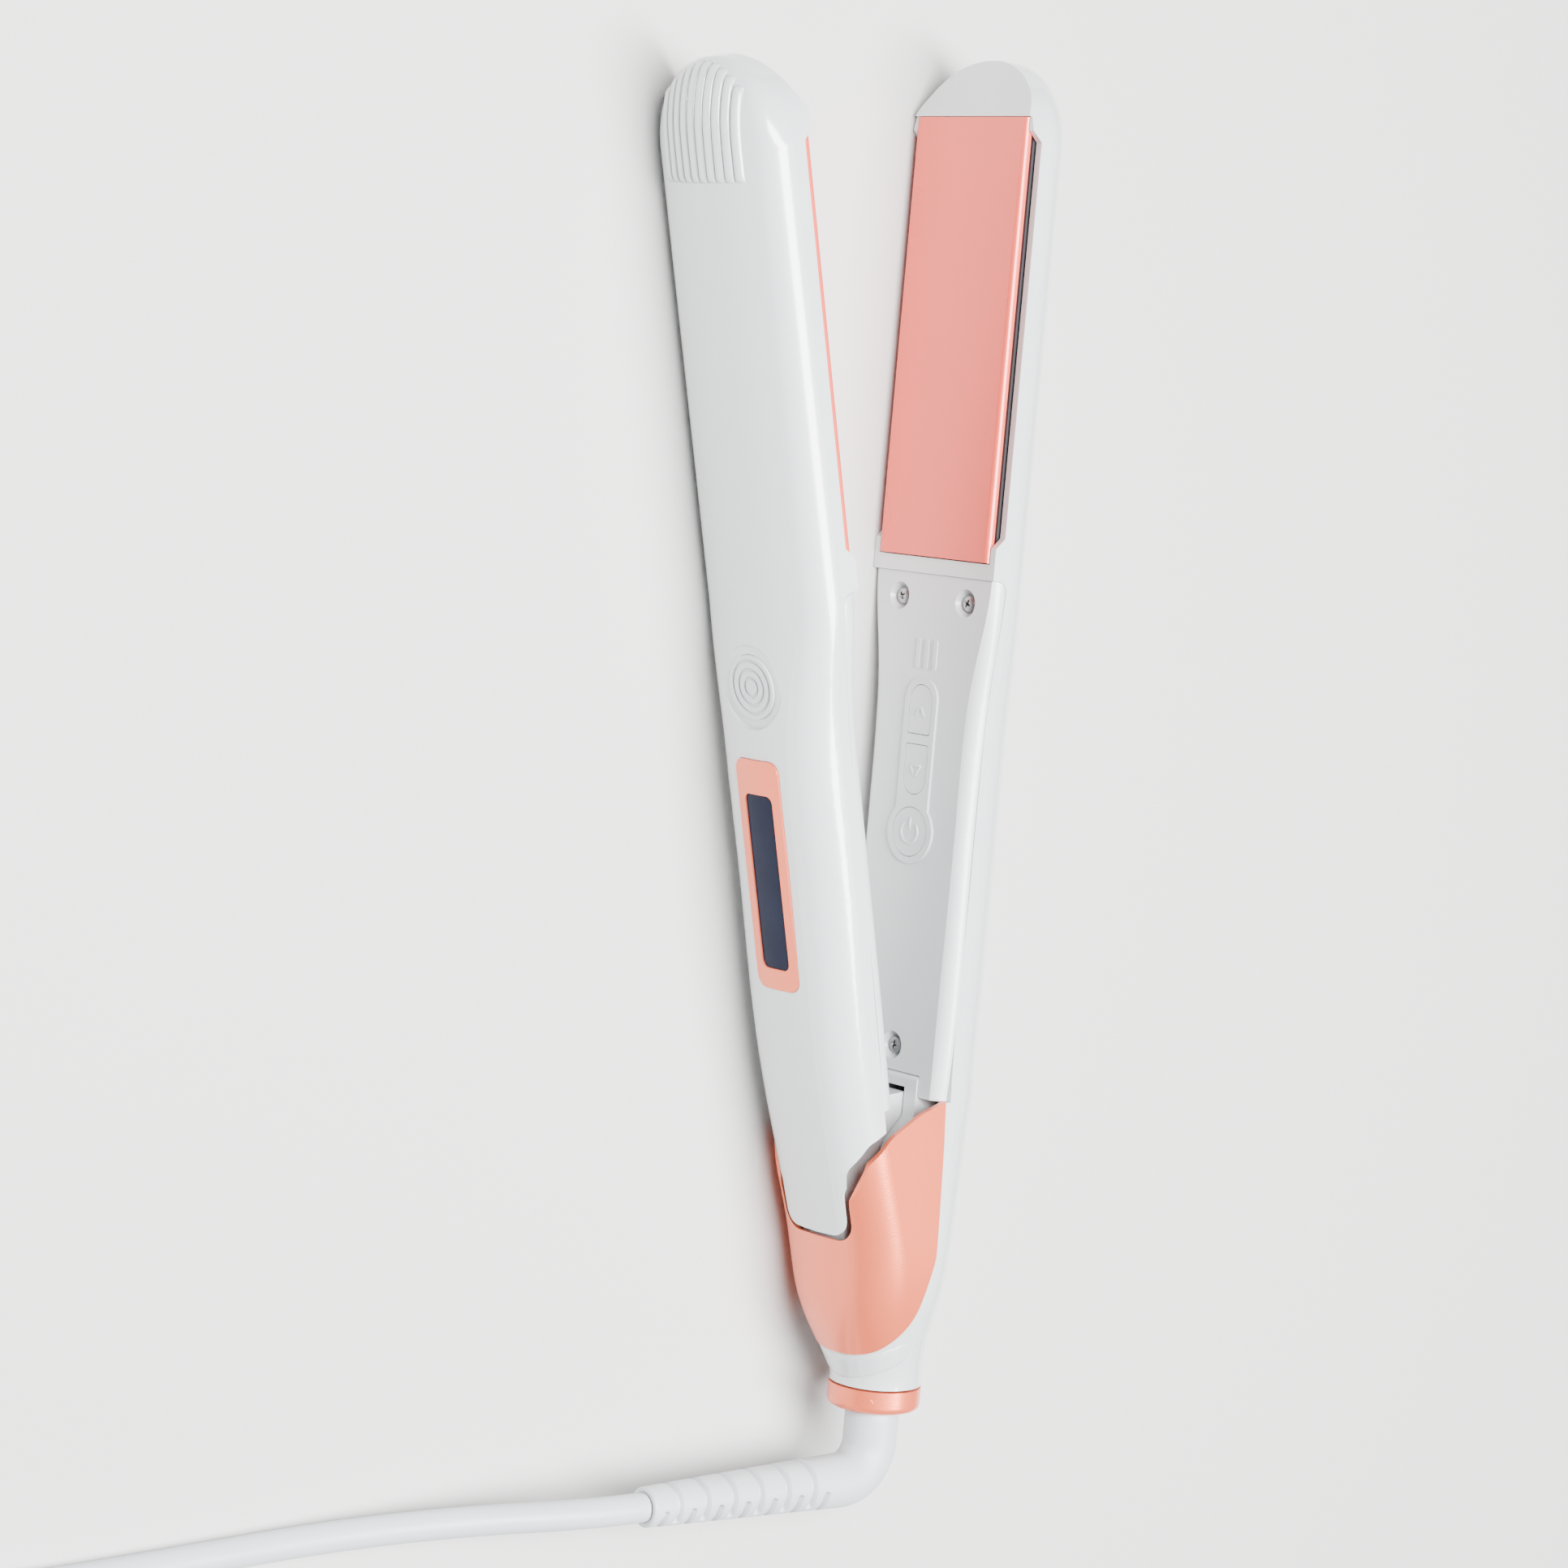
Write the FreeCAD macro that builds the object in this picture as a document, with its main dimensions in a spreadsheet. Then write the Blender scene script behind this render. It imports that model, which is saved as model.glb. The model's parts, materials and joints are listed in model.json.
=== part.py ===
import FreeCAD, Part
import math
import os
import re
import Sketcher
from FreeCAD import Placement, Rotation, Vector

# Hair straightener (flat iron), lying open on its side.
#
# Each arm is drawn closed, in its own design frame: x points outward from the face where the plates meet,
# y along the arm towards the tip, z across the arm along the hinge pin. The plate starts at y = 0.
# The control arm stays in that frame. The display arm is the same frame turned half a turn about y, then
# opened about the hinge. The row's frame stands the flat sides on z = 0.

doc = FreeCAD.newDocument("HairStraightener")
sheet = doc.addObject("Spreadsheet::Sheet", "Dim")

SIZES = {
    # placing the parts in the row's frame
    "datum_x": 27.9, "datum_y": 38.4, "datum_z": 18,
    "hinge_x": -5.58, "hinge_y": -144.33, "hinge_open": 14.36,
    # heating plates
    "plate_length": 90, "plate_half": 16.3, "plate_gap": 0.1, "plate_back": 3.0, "plate_edge": 1.1,
    "plate_cap": 1.7, "plate_body_half": 14.6,
    "plate_travel": 0.8, "heater_half": 8, "heater_start": 12, "heater_end": 78, "heater_back": 5.2,
    "clamp_half": 10.5, "clamp_start": 8, "clamp_end": 82, "clamp_back": 6.6,
    "carrier_half": 15.2, "carrier_start": 2, "carrier_end": 86.6, "carrier_front": 4.1, "carrier_back": 9.2,
    "carrier_hole_half": 10.8, "carrier_hole_start": 6.5, "carrier_hole_end": 83.5,
    "skirt_front": 2.7, "skirt_back": 5.4, "skirt_half": 15.9, "skirt_inner": 14.8,
    "cushion_radius": 1.7, "cushion_bore": 0.8, "cushion_seat": 7.4, "cushion_across": 12.8,
    "cushion_low": 18, "cushion_high": 72,
    # arm shell
    "wall": 1.8, "rim_wall": 1.5, "rim_level": 3.1, "rim_low": 5.2, "rim_top_end": 87.3,
    "ledge_level": 0.8, "ledge_top": -0.25, "ledge_thick": 3,
    "plate_zone_start": -3, "plate_zone_end": 84,
    "tip_face": 90.15, "seam": 4.8, "seam_top": -3.5, "seam_turn": 2.6, "cut_width": 60,
    "boss_radius": 2.9, "boss_reach": 12.7, "pilot_radius": 1.15,
    # inner cover
    "cover_face": 1.4, "cover_gap": 0.08, "cover_end": -111.2, "display_cover_end": -111.9, "cover_flank": 3.4,
    "bracket_gap": 0.15, "hollow_top": -14, "hollow_low": -96, "hollow_half": 11, "hollow_deep": 1.8,
    "screw_side": 9.85, "screw_top": -8.7, "screw_low": -101.7,
    "screw_recess": 2.9, "screw_recess_low": 2.0, "screw_recess_deep": 1.8,
    "screw_head": 1.85, "screw_head_thick": 1.2, "screw_shank": 1.1, "screw_length": 8.4,
    "bar_top": -16.9, "bar_low": -23.3, "bar_pitch": 2.56, "bar_wide": 1.1, "bar_high": 0.35,
    # buttons
    "rim_half": 4.7, "rim_round": 4.6, "rim_top": -24.9, "rim_high": 0.6, "power_rim": 6.6,
    "button_half": 3.3, "button_round": 3.25, "up_top": -26.5, "up_low": -36.6, "down_top": -38.9,
    "down_low": -49.1, "power_y": -57, "power_radius": 5.06, "button_gap": 0.15, "button_proud": 0.5,
    "button_back": 5.0, "button_travel": 0.6,
    "switch_half": 2.6, "switch_thick": 1.7, "board_half": 9, "board_top": -23, "board_low": -66,
    "board_thick": 1.2,
    # hinge
    "bracket_half": 8.9, "bracket_top": -106.9, "bracket_face": 1.0, "bracket_back": 13.5,
    "slot_half": 5.4, "slot_top": -109.6, "slot_back": 11.4, "bracket_low": -151.5,
    "pin_radius": 1.9, "pin_bore": 2.0, "pin_reach": 10.9, "pin_head": 3.1, "pin_head_thick": 1.4,
    "pin_head_at": 9.0, "clip_radius": 3.3, "clip_thick": 0.8,
    "knuckle_half": 5.0, "knuckle_base_half": 10, "knuckle_round": 5.2, "knuckle_front": 5.0,
    "spring_slot_half": 3.2, "spring_room": 6.3, "spring_mean": 3.1, "spring_wire": 0.4, "spring_pitch": 0.95,
    "spring_turns": 5, "spring_leg": 4.8,
    # hinge housing, on the control arm
    "housing_proud": 0.5, "housing_wall": 1.1, "housing_seam": 4.7, "housing_top": -110.9, "housing_low": -166.7,
    "notch_half": 9.9, "notch_low": -140.9, "notch_round": 4.4, "tongue_half": 9.3, "tongue_low": -137.5,
    "tongue_round": 4.0, "tongue_inner": 13.2,
    # neck, ring and cord guard
    "neck_x": 5.3, "neck_low": -173.3, "neck_bore": 7.5, "neck_bore_top": -163,
    "ring_top": -173.7, "ring_low": -178.6, "ring_radius": 9.8, "ring_bore": 6.0, "ring_round": 1.4,
    "ring_seat": 7.0, "ring_lip": -177.1, "bush_outer": 7.4, "bush_bore": 5.2, "bush_top": -166.2,
    "bush_step": -173, "bush_low": -177,
    "stem_top": -165, "stem_flange": 7.0, "stem_flange_thick": 1.0, "stem_radius": 5.05, "stem_low": -183,
    "guard_radius": 5.7, "guard_top": -179.2,
    "guard_elbow": -185.9, "guard_bend": 8, "guard_end": -55.7, "guard_end_radius": 4.1,
    # display arm details
    "bezel_half": 6.3, "bezel_top": -36.5, "bezel_low": -84.6, "bezel_round": 2.6, "bezel_proud": 0.25,
    "bezel_back": 15.2, "bezel_deep": 4, "trim_gap": 0.08, "crown": 39, "grip_deep": 17.05,
    "window_half": 4.05, "window_top": -43.7, "window_low": -80.2, "window_round": 1.6, "window_sunk": 0.1,
    "window_back": 15.6, "module_half": 5.6, "module_front": 14.4, "module_back": 11.6,
    "disc_y": -21.8, "disc_radius": 6.6, "disc_face": 15.9, "disc_back": 13.9, "disc_floor": 15.4,
    "disc_dish": 8.6, "groove_deep": 0.4, "groove_wide": 0.7, "groove_first": 1.9, "groove_pitch": 1.75,
    # wiring
    "control_lead_x": 11.6, "display_lead_x": 8, "lead_across": 4.5,
    "lead_start": 1, "lead_end": -96, "lead_radius": 0.9,
    "sensor_x": 7.5, "sensor_y": 40, "sensor_radius": 0.9, "sensor_long": 9,
    # cord and plug, in the row's frame
    "cord_radius": 3, "coil_x": -190, "coil_y": -208.2, "coil_outer": 51.5, "coil_inner": 20.9, "coil_high": 12.2,
    "plug_x": -130, "plug_y": -258.1, "plug_long": 30, "plug_half": 11, "plug_thick": 14, "plug_round": 4,
    "relief_start": 3.6, "relief_end": 5.4, "relief_long": 24,
    "blade_long": 17, "blade_wide": 6.3, "blade_thick": 1.5, "blade_pitch": 12.7,
}

# Arm cross sections: y, half width, depth outward, corner radius, crown radius, inner face.
STATIONS = {
    "tip_end": (101.9, 1.9, 9.4, 0.7, 6.5, 4.8),
    "tip_seven": (101.47, 4.35, 10.3, 1.4, 10, 4.5),
    "tip_six": (100.44, 7.4, 11.45, 2.3, 15.8, 4.0),
    "tip_five": (98.56, 10.75, 12.65, 3.6, 23, 3.4),
    "tip_four": (96.04, 13.55, 13.65, 5.1, 28.8, 2.6),
    "tip_three": (93, 15.7, 14.4, 6.2, 34, 1.4),
    "tip_two": (90.15, 16.9, 14.85, 6.8, 37, 0.15),
    "tip_one": (87.13, 17.73, 15.05, 7.1, 38.6, 0.15),
    "plate_zone": (84, 18, 15.1, 7.2, 39, 0.15),
    "shoulder": (-5.5, 17.98, 15.12, 7.2, 39, 0),
    "waist_one": (-14, 17.3, 15.7, 7.6, 39, 0),
    "waist_two": (-26, 16.0, 16.5, 8.4, 39, 0),
    "grip_top": (-41, 15.4, 16.95, 9, 39, 0),
    "grip": (-72, 15.35, 17.05, 9, 39, 0),
    "grip_low": (-108, 15.35, 16.85, 9, 39, 0),
    "heel_top": (-106, 14.8, 16.8, 8.8, 39, 0),
    "heel_one": (-122, 14.55, 15.5, 9, 39, 0),
    "heel_end": (-139, 14.5, 14.5, 9, 39, 0),
}

# Cross sections of the control arm's tail, which the hinge housing shares: y, half width, display side, control
# side, corner radius, crown radius.
TAIL = {
    "tail_top": (-108, 15.4, -26.2, 16.85, 9, 39),
    "tail_one": (-116, 15.45, -23.4, 16.4, 9, 39),
    "tail_two": (-124, 15.45, -20.5, 15.85, 9, 39),
    "tail_three": (-132, 15.45, -17.7, 15.4, 9, 39),
    "tail_four": (-140, 15.4, -14.9, 14.95, 9, 39),
    "tail_five": (-147, 15.1, -13.1, 14.5, 9, 37),
    "tail_six": (-154, 14.1, -11.7, 14.0, 9, 31),
    "tail_seven": (-160.5, 12.3, -9.6, 13.7, 9, 23),
    "tail_eight": (-166.5, 10.4, -6.6, 14.1, 9, 15),
    "tail_end": (-172, 9.5, -4.2, 14.8, 9, 10.4),
}

for name, row in STATIONS.items():
    for part, value in zip(("along", "wide", "deep", "corner", "crown", "inner"), row):
        SIZES[f"{name}_{part}"] = value
for name, row in TAIL.items():
    for part, value in zip(("along", "wide", "left", "right", "corner", "crown"), row):
        SIZES[f"{name}_{part}"] = value

for row, (alias, value) in enumerate(SIZES.items(), start=1):
    sheet.set(f"A{row}", alias)
    sheet.set(f"B{row}", str(value))
    sheet.setAlias(f"B{row}", alias)
doc.recompute()

ALIAS = re.compile(r"\b([a-z]\w*)\b(?!\()")


def cell(expression):
    """The expression as another object writes it, with each alias read from the sheet."""
    return ALIAS.sub(r"Dim.\1", expression)


def number(expression):
    return float(sheet.evalExpression(expression))


# ---------------------------------------------------------------- sketches

def plane_of(body, role):
    return next(p for p in body.Origin.OriginFeatures if p.Role == role)


def sketch_on(body, role, name, lift="0"):
    """A sketch on one of the body's own origin planes, lifted along that plane's normal."""
    sketch = body.newObject("Sketcher::SketchObject", name)
    sketch.AttachmentSupport = [(plane_of(body, role), "")]
    sketch.MapMode = "FlatFace"
    sketch.AttachmentOffset = Placement(Vector(0, 0, number(lift)), Rotation())
    sketch.setExpression("AttachmentOffset.Base.z", cell(lift))
    return sketch


def hold(sketch, *constraint, size=None):
    """Adds one constraint, bound to the sheet where it has a size."""
    if size is None:
        sketch.addConstraint(Sketcher.Constraint(*constraint))
        return
    index = sketch.addConstraint(Sketcher.Constraint(*constraint, number(size)))
    sketch.setExpression(f"Constraints[{index}]", cell(size))


def pin_point(sketch, geometry, end, x, y):
    """Fixes a point of the sketch at two sizes from the origin."""
    for kind, size, axis in (("DistanceX", x, -2), ("DistanceY", y, -1)):
        if abs(number(size)) < 1e-9:
            hold(sketch, "PointOnObject", geometry, end, axis)
        else:
            hold(sketch, kind, -1, 1, geometry, end, size=size)


def outline(sketch, corners):
    """A closed outline through (x, y) corners, or (x, y, radius) where the corner is rounded."""
    spots = [Vector(number(c[0]), number(c[1]), 0) for c in corners]
    radii = [number(c[2]) if len(c) > 2 else 0 for c in corners]
    count = len(corners)
    ins, outs = [], []
    for i, spot in enumerate(spots):
        back = (spots[i - 1] - spot).normalize()
        ahead = (spots[(i + 1) % count] - spot).normalize()
        reach = radii[i] / math.tan(back.getAngle(ahead) / 2) if radii[i] else 0
        ins.append(spot + back * reach)
        outs.append(spot + ahead * reach)
    lines = [
        sketch.addGeometry(Part.LineSegment(outs[i], ins[(i + 1) % count]), False) for i in range(count)
    ]
    for i, spot in enumerate(spots):
        before, after = lines[i - 1], lines[i]
        vertex = sketch.addGeometry(Part.Point(spot), True)
        pin_point(sketch, vertex, 1, corners[i][0], corners[i][1])
        if not radii[i]:
            hold(sketch, "Coincident", before, 2, vertex, 1)
            hold(sketch, "Coincident", after, 1, vertex, 1)
            continue
        back, ahead = (ins[i] - spot).normalize(), (outs[i] - spot).normalize()
        centre = spot + (back + ahead).normalize() * (radii[i] / math.sin(back.getAngle(ahead) / 2))
        middle = centre + (spot - centre).normalize() * radii[i]
        left_turn = back.cross(ahead).z < 0
        first, last = (ins[i], outs[i]) if left_turn else (outs[i], ins[i])
        arc = sketch.addGeometry(Part.Arc(first, middle, last), False)
        enters, leaves = (1, 2) if left_turn else (2, 1)
        hold(sketch, "PointOnObject", vertex, 1, before)
        hold(sketch, "PointOnObject", vertex, 1, after)
        hold(sketch, "Tangent", before, 2, arc, enters)
        hold(sketch, "Tangent", arc, leaves, after, 1)
        hold(sketch, "Radius", arc, size=corners[i][2])
    return sketch


def circle(sketch, x, y, radius):
    ring = sketch.addGeometry(Part.Circle(Vector(number(x), number(y), 0), Vector(0, 0, 1), number(radius)), False)
    pin_point(sketch, ring, 3, x, y)
    hold(sketch, "Radius", ring, size=radius)
    return sketch


def arc_between(centre, radius, start, end):
    return Part.ArcOfCircle(Part.Circle(centre, Vector(0, 0, 1), radius), start, end)


def arm_section(body, name, along, wide, deep, corner, crown, inner):
    """A D-shaped cross section of an arm: flat inner face, upright sides, round corners and a crowned back."""
    sketch = sketch_on(body, "XZ_Plane", name, f"-({along})")
    half, depth, radius, crown_radius, face = (number(x) for x in (wide, deep, corner, crown, inner))
    crown_x = depth - crown_radius
    corner_x = crown_x + math.sqrt((crown_radius - radius) ** 2 - (half - radius) ** 2)
    turn = math.asin((half - radius) / (crown_radius - radius))
    side_low = Part.LineSegment(Vector(face, -half, 0), Vector(corner_x, -half, 0))
    corner_low = arc_between(Vector(corner_x, radius - half, 0), radius, -math.pi / 2, -turn)
    back = arc_between(Vector(crown_x, 0, 0), crown_radius, -turn, turn)
    corner_high = arc_between(Vector(corner_x, half - radius, 0), radius, turn, math.pi / 2)
    side_high = Part.LineSegment(Vector(corner_x, half, 0), Vector(face, half, 0))
    front = Part.LineSegment(Vector(face, half, 0), Vector(face, -half, 0))
    for geometry in (side_low, corner_low, back, corner_high, side_high, front):
        sketch.addGeometry(geometry, False)
    for i in range(4):
        hold(sketch, "Tangent", i, 2, i + 1, 1)
    hold(sketch, "Coincident", 4, 2, 5, 1)
    hold(sketch, "Coincident", 5, 2, 0, 1)
    hold(sketch, "Horizontal", 0)
    hold(sketch, "Horizontal", 4)
    hold(sketch, "Symmetric", 5, 1, 5, 2, -1)
    if abs(face) < 1e-9:
        hold(sketch, "PointOnObject", 5, 1, -2)
    else:
        hold(sketch, "DistanceX", -1, 1, 5, 1, size=inner)
    hold(sketch, "DistanceY", 5, 2, 5, 1, size=f"2 * ({wide})")
    hold(sketch, "Radius", 1, size=corner)
    hold(sketch, "Equal", 1, 3)
    hold(sketch, "Radius", 2, size=crown)
    hold(sketch, "DistanceX", -1, 1, 2, 3, size=f"({deep}) - ({crown})")
    hold(sketch, "PointOnObject", 2, 3, -1)
    return sketch


def tail_section(body, name, along, wide, left, right, corner, crown):
    """A rounded-box cross section with a crowned back on each side."""
    sketch = sketch_on(body, "XZ_Plane", name, f"-({along})")
    half, low, high, radius, crown_radius = (number(x) for x in (wide, left, right, corner, crown))
    reach = math.sqrt((crown_radius - radius) ** 2 - (half - radius) ** 2)
    turn = math.asin((half - radius) / (crown_radius - radius))
    right_x, left_x = high - crown_radius, low + crown_radius
    right_corner, left_corner = right_x + reach, left_x - reach
    inset = half - radius
    pieces = (
        Part.LineSegment(Vector(left_corner, -half, 0), Vector(right_corner, -half, 0)),
        arc_between(Vector(right_corner, -inset, 0), radius, -math.pi / 2, -turn),
        arc_between(Vector(right_x, 0, 0), crown_radius, -turn, turn),
        arc_between(Vector(right_corner, inset, 0), radius, turn, math.pi / 2),
        Part.LineSegment(Vector(right_corner, half, 0), Vector(left_corner, half, 0)),
        arc_between(Vector(left_corner, inset, 0), radius, math.pi / 2, math.pi - turn),
        arc_between(Vector(left_x, 0, 0), crown_radius, math.pi - turn, math.pi + turn),
        arc_between(Vector(left_corner, -inset, 0), radius, math.pi + turn, 3 * math.pi / 2),
    )
    for geometry in pieces:
        sketch.addGeometry(geometry, False)
    for i in range(8):
        hold(sketch, "Tangent", i, 2, (i + 1) % 8, 1)
    hold(sketch, "Horizontal", 0)
    hold(sketch, "Horizontal", 4)
    hold(sketch, "DistanceY", -1, 1, 0, 1, size=f"-({wide})")
    hold(sketch, "DistanceY", -1, 1, 4, 1, size=wide)
    hold(sketch, "Radius", 1, size=corner)
    for other in (3, 5, 7):
        hold(sketch, "Equal", 1, other)
    hold(sketch, "Radius", 2, size=crown)
    hold(sketch, "Equal", 2, 6)
    hold(sketch, "DistanceX", -1, 1, 2, 3, size=f"({right}) - ({crown})")
    hold(sketch, "DistanceX", -1, 1, 6, 3, size=f"({left}) + ({crown})")
    hold(sketch, "PointOnObject", 2, 3, -1)
    hold(sketch, "PointOnObject", 6, 3, -1)
    return sketch


# ---------------------------------------------------------------- features

def new_body(label):
    body = doc.addObject("PartDesign::Body", label)
    body.Label = label
    return body


def pad(body, sketch, length, both=False, flip=False):
    feature = body.newObject("PartDesign::Pad", sketch.Name + "_pad")
    feature.Profile = sketch
    feature.SideType = "Symmetric" if both else "One side"
    feature.Reversed = flip
    feature.setExpression("Length", cell(length))
    doc.recompute()
    return feature


def pocket(body, sketch, length, both=False, flip=False, taper=None):
    """Cuts the sketch out of the body, and says so if it cuts nothing."""
    before = body.Shape.Volume
    feature = body.newObject("PartDesign::Pocket", sketch.Name + "_cut")
    feature.Profile = sketch
    feature.SideType = "Symmetric" if both else "One side"
    feature.Reversed = flip
    feature.setExpression("Length", cell(length))
    if taper:
        feature.setExpression("TaperAngle", cell(taper))
    doc.recompute()
    if body.Shape.Volume > before - 0.01:
        raise RuntimeError(f"{feature.Name} of {body.Label} cuts nothing")
    return feature


def loft(body, name, sketches, cut=False):
    before = body.Shape.Volume if body.Tip else 0
    feature = body.newObject("PartDesign::SubtractiveLoft" if cut else "PartDesign::AdditiveLoft", name)
    feature.Profile = sketches[0]
    feature.Sections = [(sketch, [""]) for sketch in sketches[1:]]
    doc.recompute()
    if cut and body.Shape.Volume > before - 0.01:
        raise RuntimeError(f"{name} of {body.Label} cuts nothing")
    return feature


def fillet(body, radius, chosen):
    """Rounds the edges of the body's tip for which chosen(edge) is true."""
    tip = body.Tip
    names = [f"Edge{i}" for i, edge in enumerate(tip.Shape.Edges, start=1) if chosen(edge)]
    feature = body.newObject("PartDesign::Fillet", body.Name + "_round")
    feature.Base = (tip, names)
    feature.setExpression("Radius", cell(radius))
    doc.recompute()
    return feature


def primitive(kind, label, at, turn=None, **sizes):
    """A Part primitive in its arm's design frame, its sizes and place bound to the sheet."""
    piece = doc.addObject(f"Part::{kind}", label)
    if turn:
        piece.Placement = Placement(Vector(), turn)
    for size, expression in sizes.items():
        piece.setExpression(size, cell(expression))
    for axis, expression in zip("xyz", at):
        piece.setExpression(f"Placement.Base.{axis}", cell(expression))
    return piece


def block(label, x, y, half, middle="0"):
    """A box between two x, two y and, about the middle, two equal z."""
    return primitive(
        "Box", label, (x[0], y[0], f"({middle}) - ({half})"),
        Length=f"({x[1]}) - ({x[0]})", Width=f"({y[1]}) - ({y[0]})", Height=f"2 * ({half})",
    )


ALONG = {"x": Rotation(Vector(0, 1, 0), 90), "-x": Rotation(Vector(0, 1, 0), -90),
         "y": Rotation(Vector(1, 0, 0), -90), "-y": Rotation(Vector(1, 0, 0), 90), "z": None}


def rod(label, axis, at, radius, length):
    return primitive("Cylinder", label, at, ALONG[axis], Radius=radius, Height=length)


def cut(label, base, tool):
    feature = doc.addObject("Part::Cut", label)
    feature.Base, feature.Tool = base, tool
    return feature


def fuse(label, pieces):
    feature = doc.addObject("Part::MultiFuse", label)
    feature.Shapes = pieces
    return feature


def bundle(label, pieces):
    """Separate solids that share one node."""
    feature = doc.addObject("Part::Compound", label)
    feature.Links = pieces
    return feature


# ---------------------------------------------------------------- placing

datum = Placement(Vector(number("datum_x"), number("datum_y"), number("datum_z")), Rotation())
hinge_point = Vector(number("hinge_x"), number("hinge_y"), 0)
opened = Placement(Vector(), Rotation(Vector(0, 0, 1), number("hinge_open")), hinge_point)
half_turn = Placement(Vector(), Rotation(Vector(0, 1, 0), 180))
CONTROL = datum
DISPLAY = datum.multiply(opened).multiply(half_turn)
nodes = []


def node(piece, label, group):
    """Names a finished sub-part and puts it where its arm is."""
    piece.Label = label
    nodes.append((piece, label, group))


# ---------------------------------------------------------------- arm shells

def station(name, inset="0", along=None, floor=None):
    """An arm station's sizes, drawn in by an inset."""
    return (
        along or f"{name}_along", f"{name}_wide - {inset}", f"{name}_deep - {inset}",
        f"{name}_corner - {inset}", f"{name}_crown - {inset}", floor or f"{name}_inner",
    )


def tail_station(name, inset="0", along=None):
    return (
        along or f"{name}_along", f"{name}_wide - ({inset})", f"{name}_left + ({inset})",
        f"{name}_right - ({inset})", f"{name}_corner - ({inset})", f"{name}_crown - ({inset})",
    )


def arm_shell(label, stations):
    """The shell both arms share: plate zone, domed tip and handle."""
    body = new_body(label)
    zone = arm_section(body, label + "_zone", *station("plate_zone", along="plate_zone_start"))
    pad(body, zone, "plate_zone_end - plate_zone_start", flip=True)
    tip = [arm_section(body, label + "_tip_start", *station("plate_zone", along="plate_zone_end"))]
    tip += [arm_section(body, f"{label}_{t}", *station(t)) for t in TIP]
    loft(body, label + "_tip", tip)
    handle = [arm_section(body, label + "_start", *station("plate_zone", along="plate_zone_start"))]
    handle += [arm_section(body, f"{label}_{t}", *station(t)) for t in stations]
    loft(body, label + "_handle", handle)
    return body


def hollow(body, label, stations):
    """Empties the shell behind the plate and along the handle, and lets the plate's end into the tip."""
    below = "-cut_width / 4"
    zone = arm_section(
        body, label + "_zone_in", "tip_one_along", "plate_zone_wide - rim_wall", "plate_zone_deep - wall",
        "plate_zone_corner - rim_wall", "plate_zone_crown - wall", below,
    )
    pocket(body, zone, "tip_one_along - plate_zone_start + 0.01", flip=True)
    first = arm_section(body, label + "_start_in", *station("plate_zone", "wall", "plate_zone_start", below))
    inner = [arm_section(body, f"{label}_{s}_in", *station(s, "wall", floor=below)) for s in stations]
    loft(body, label + "_handle_in", [first] + inner, cut=True)
    end = sketch_on(body, "YZ_Plane", label + "_plate_end", "-1")
    outline(end, [
        ("plate_zone_end", "plate_half + 0.1"), ("tip_face", "plate_half + 0.1"),
        ("tip_face", "-(plate_half + 0.1)"), ("plate_zone_end", "-(plate_half + 0.1)"),
    ])
    pocket(body, end, "plate_back + plate_travel + 1.3", flip=True)


def plate_ledge(body, label):
    """The bar across the shell between the plate's low end and the inner cover."""
    half = "(plate_zone_wide - rim_wall / 2)"
    face = sketch_on(body, "YZ_Plane", label + "_ledge", "ledge_level")
    outline(face, [("seam_top", half), ("ledge_top", half), ("ledge_top", f"-{half}"), ("seam_top", f"-{half}")])
    pad(body, face, "ledge_thick")


def open_inner_side(body, label, end):
    """Sets the rim back from the plate and stops the shell at the seam, where the inner cover takes over."""
    edge = sketch_on(body, "XY_Plane", label + "_inner_side")
    outline(edge, [
        ("-cut_width", "tip_face"),
        ("-cut_width", end),
        ("seam", end),
        ("seam", "seam_top", "seam_turn"),
        ("ledge_level", "seam_top"),
        ("ledge_level", "rim_low - 2.2"),
        ("rim_level", "rim_low"),
        ("rim_level", "rim_top_end - 2.2"),
        ("ledge_level", "rim_top_end"),
        ("ledge_level", "tip_face"),
    ])
    pocket(body, edge, "cut_width", both=True)


# Each cover screw: y, z and how far out its boss reaches into the shell's back.
SCREWS = {
    "top": ("screw_top", "screw_side", "boss_reach"),
    "top_other": ("screw_top", "-screw_side", "boss_reach"),
    "low": ("screw_low", "0", "boss_reach + 3"),
}


def screw_bosses(body, label):
    for place, (along, across, reach) in SCREWS.items():
        boss = sketch_on(body, "YZ_Plane", f"{label}_boss_{place}", "seam + cover_gap")
        circle(boss, along, across, "boss_radius")
        pad(body, boss, f"{reach} - seam")
    for place, (along, across, reach) in SCREWS.items():
        pilot = sketch_on(body, "YZ_Plane", f"{label}_pilot_{place}", "seam - 1")
        circle(pilot, along, across, "pilot_radius")
        pocket(body, pilot, "screw_length - 1", flip=True)


TIP = ("tip_one", "tip_two", "tip_three", "tip_four", "tip_five", "tip_six", "tip_seven", "tip_end")
GRIP = ("shoulder", "waist_one", "waist_two", "grip_top", "grip")


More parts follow.
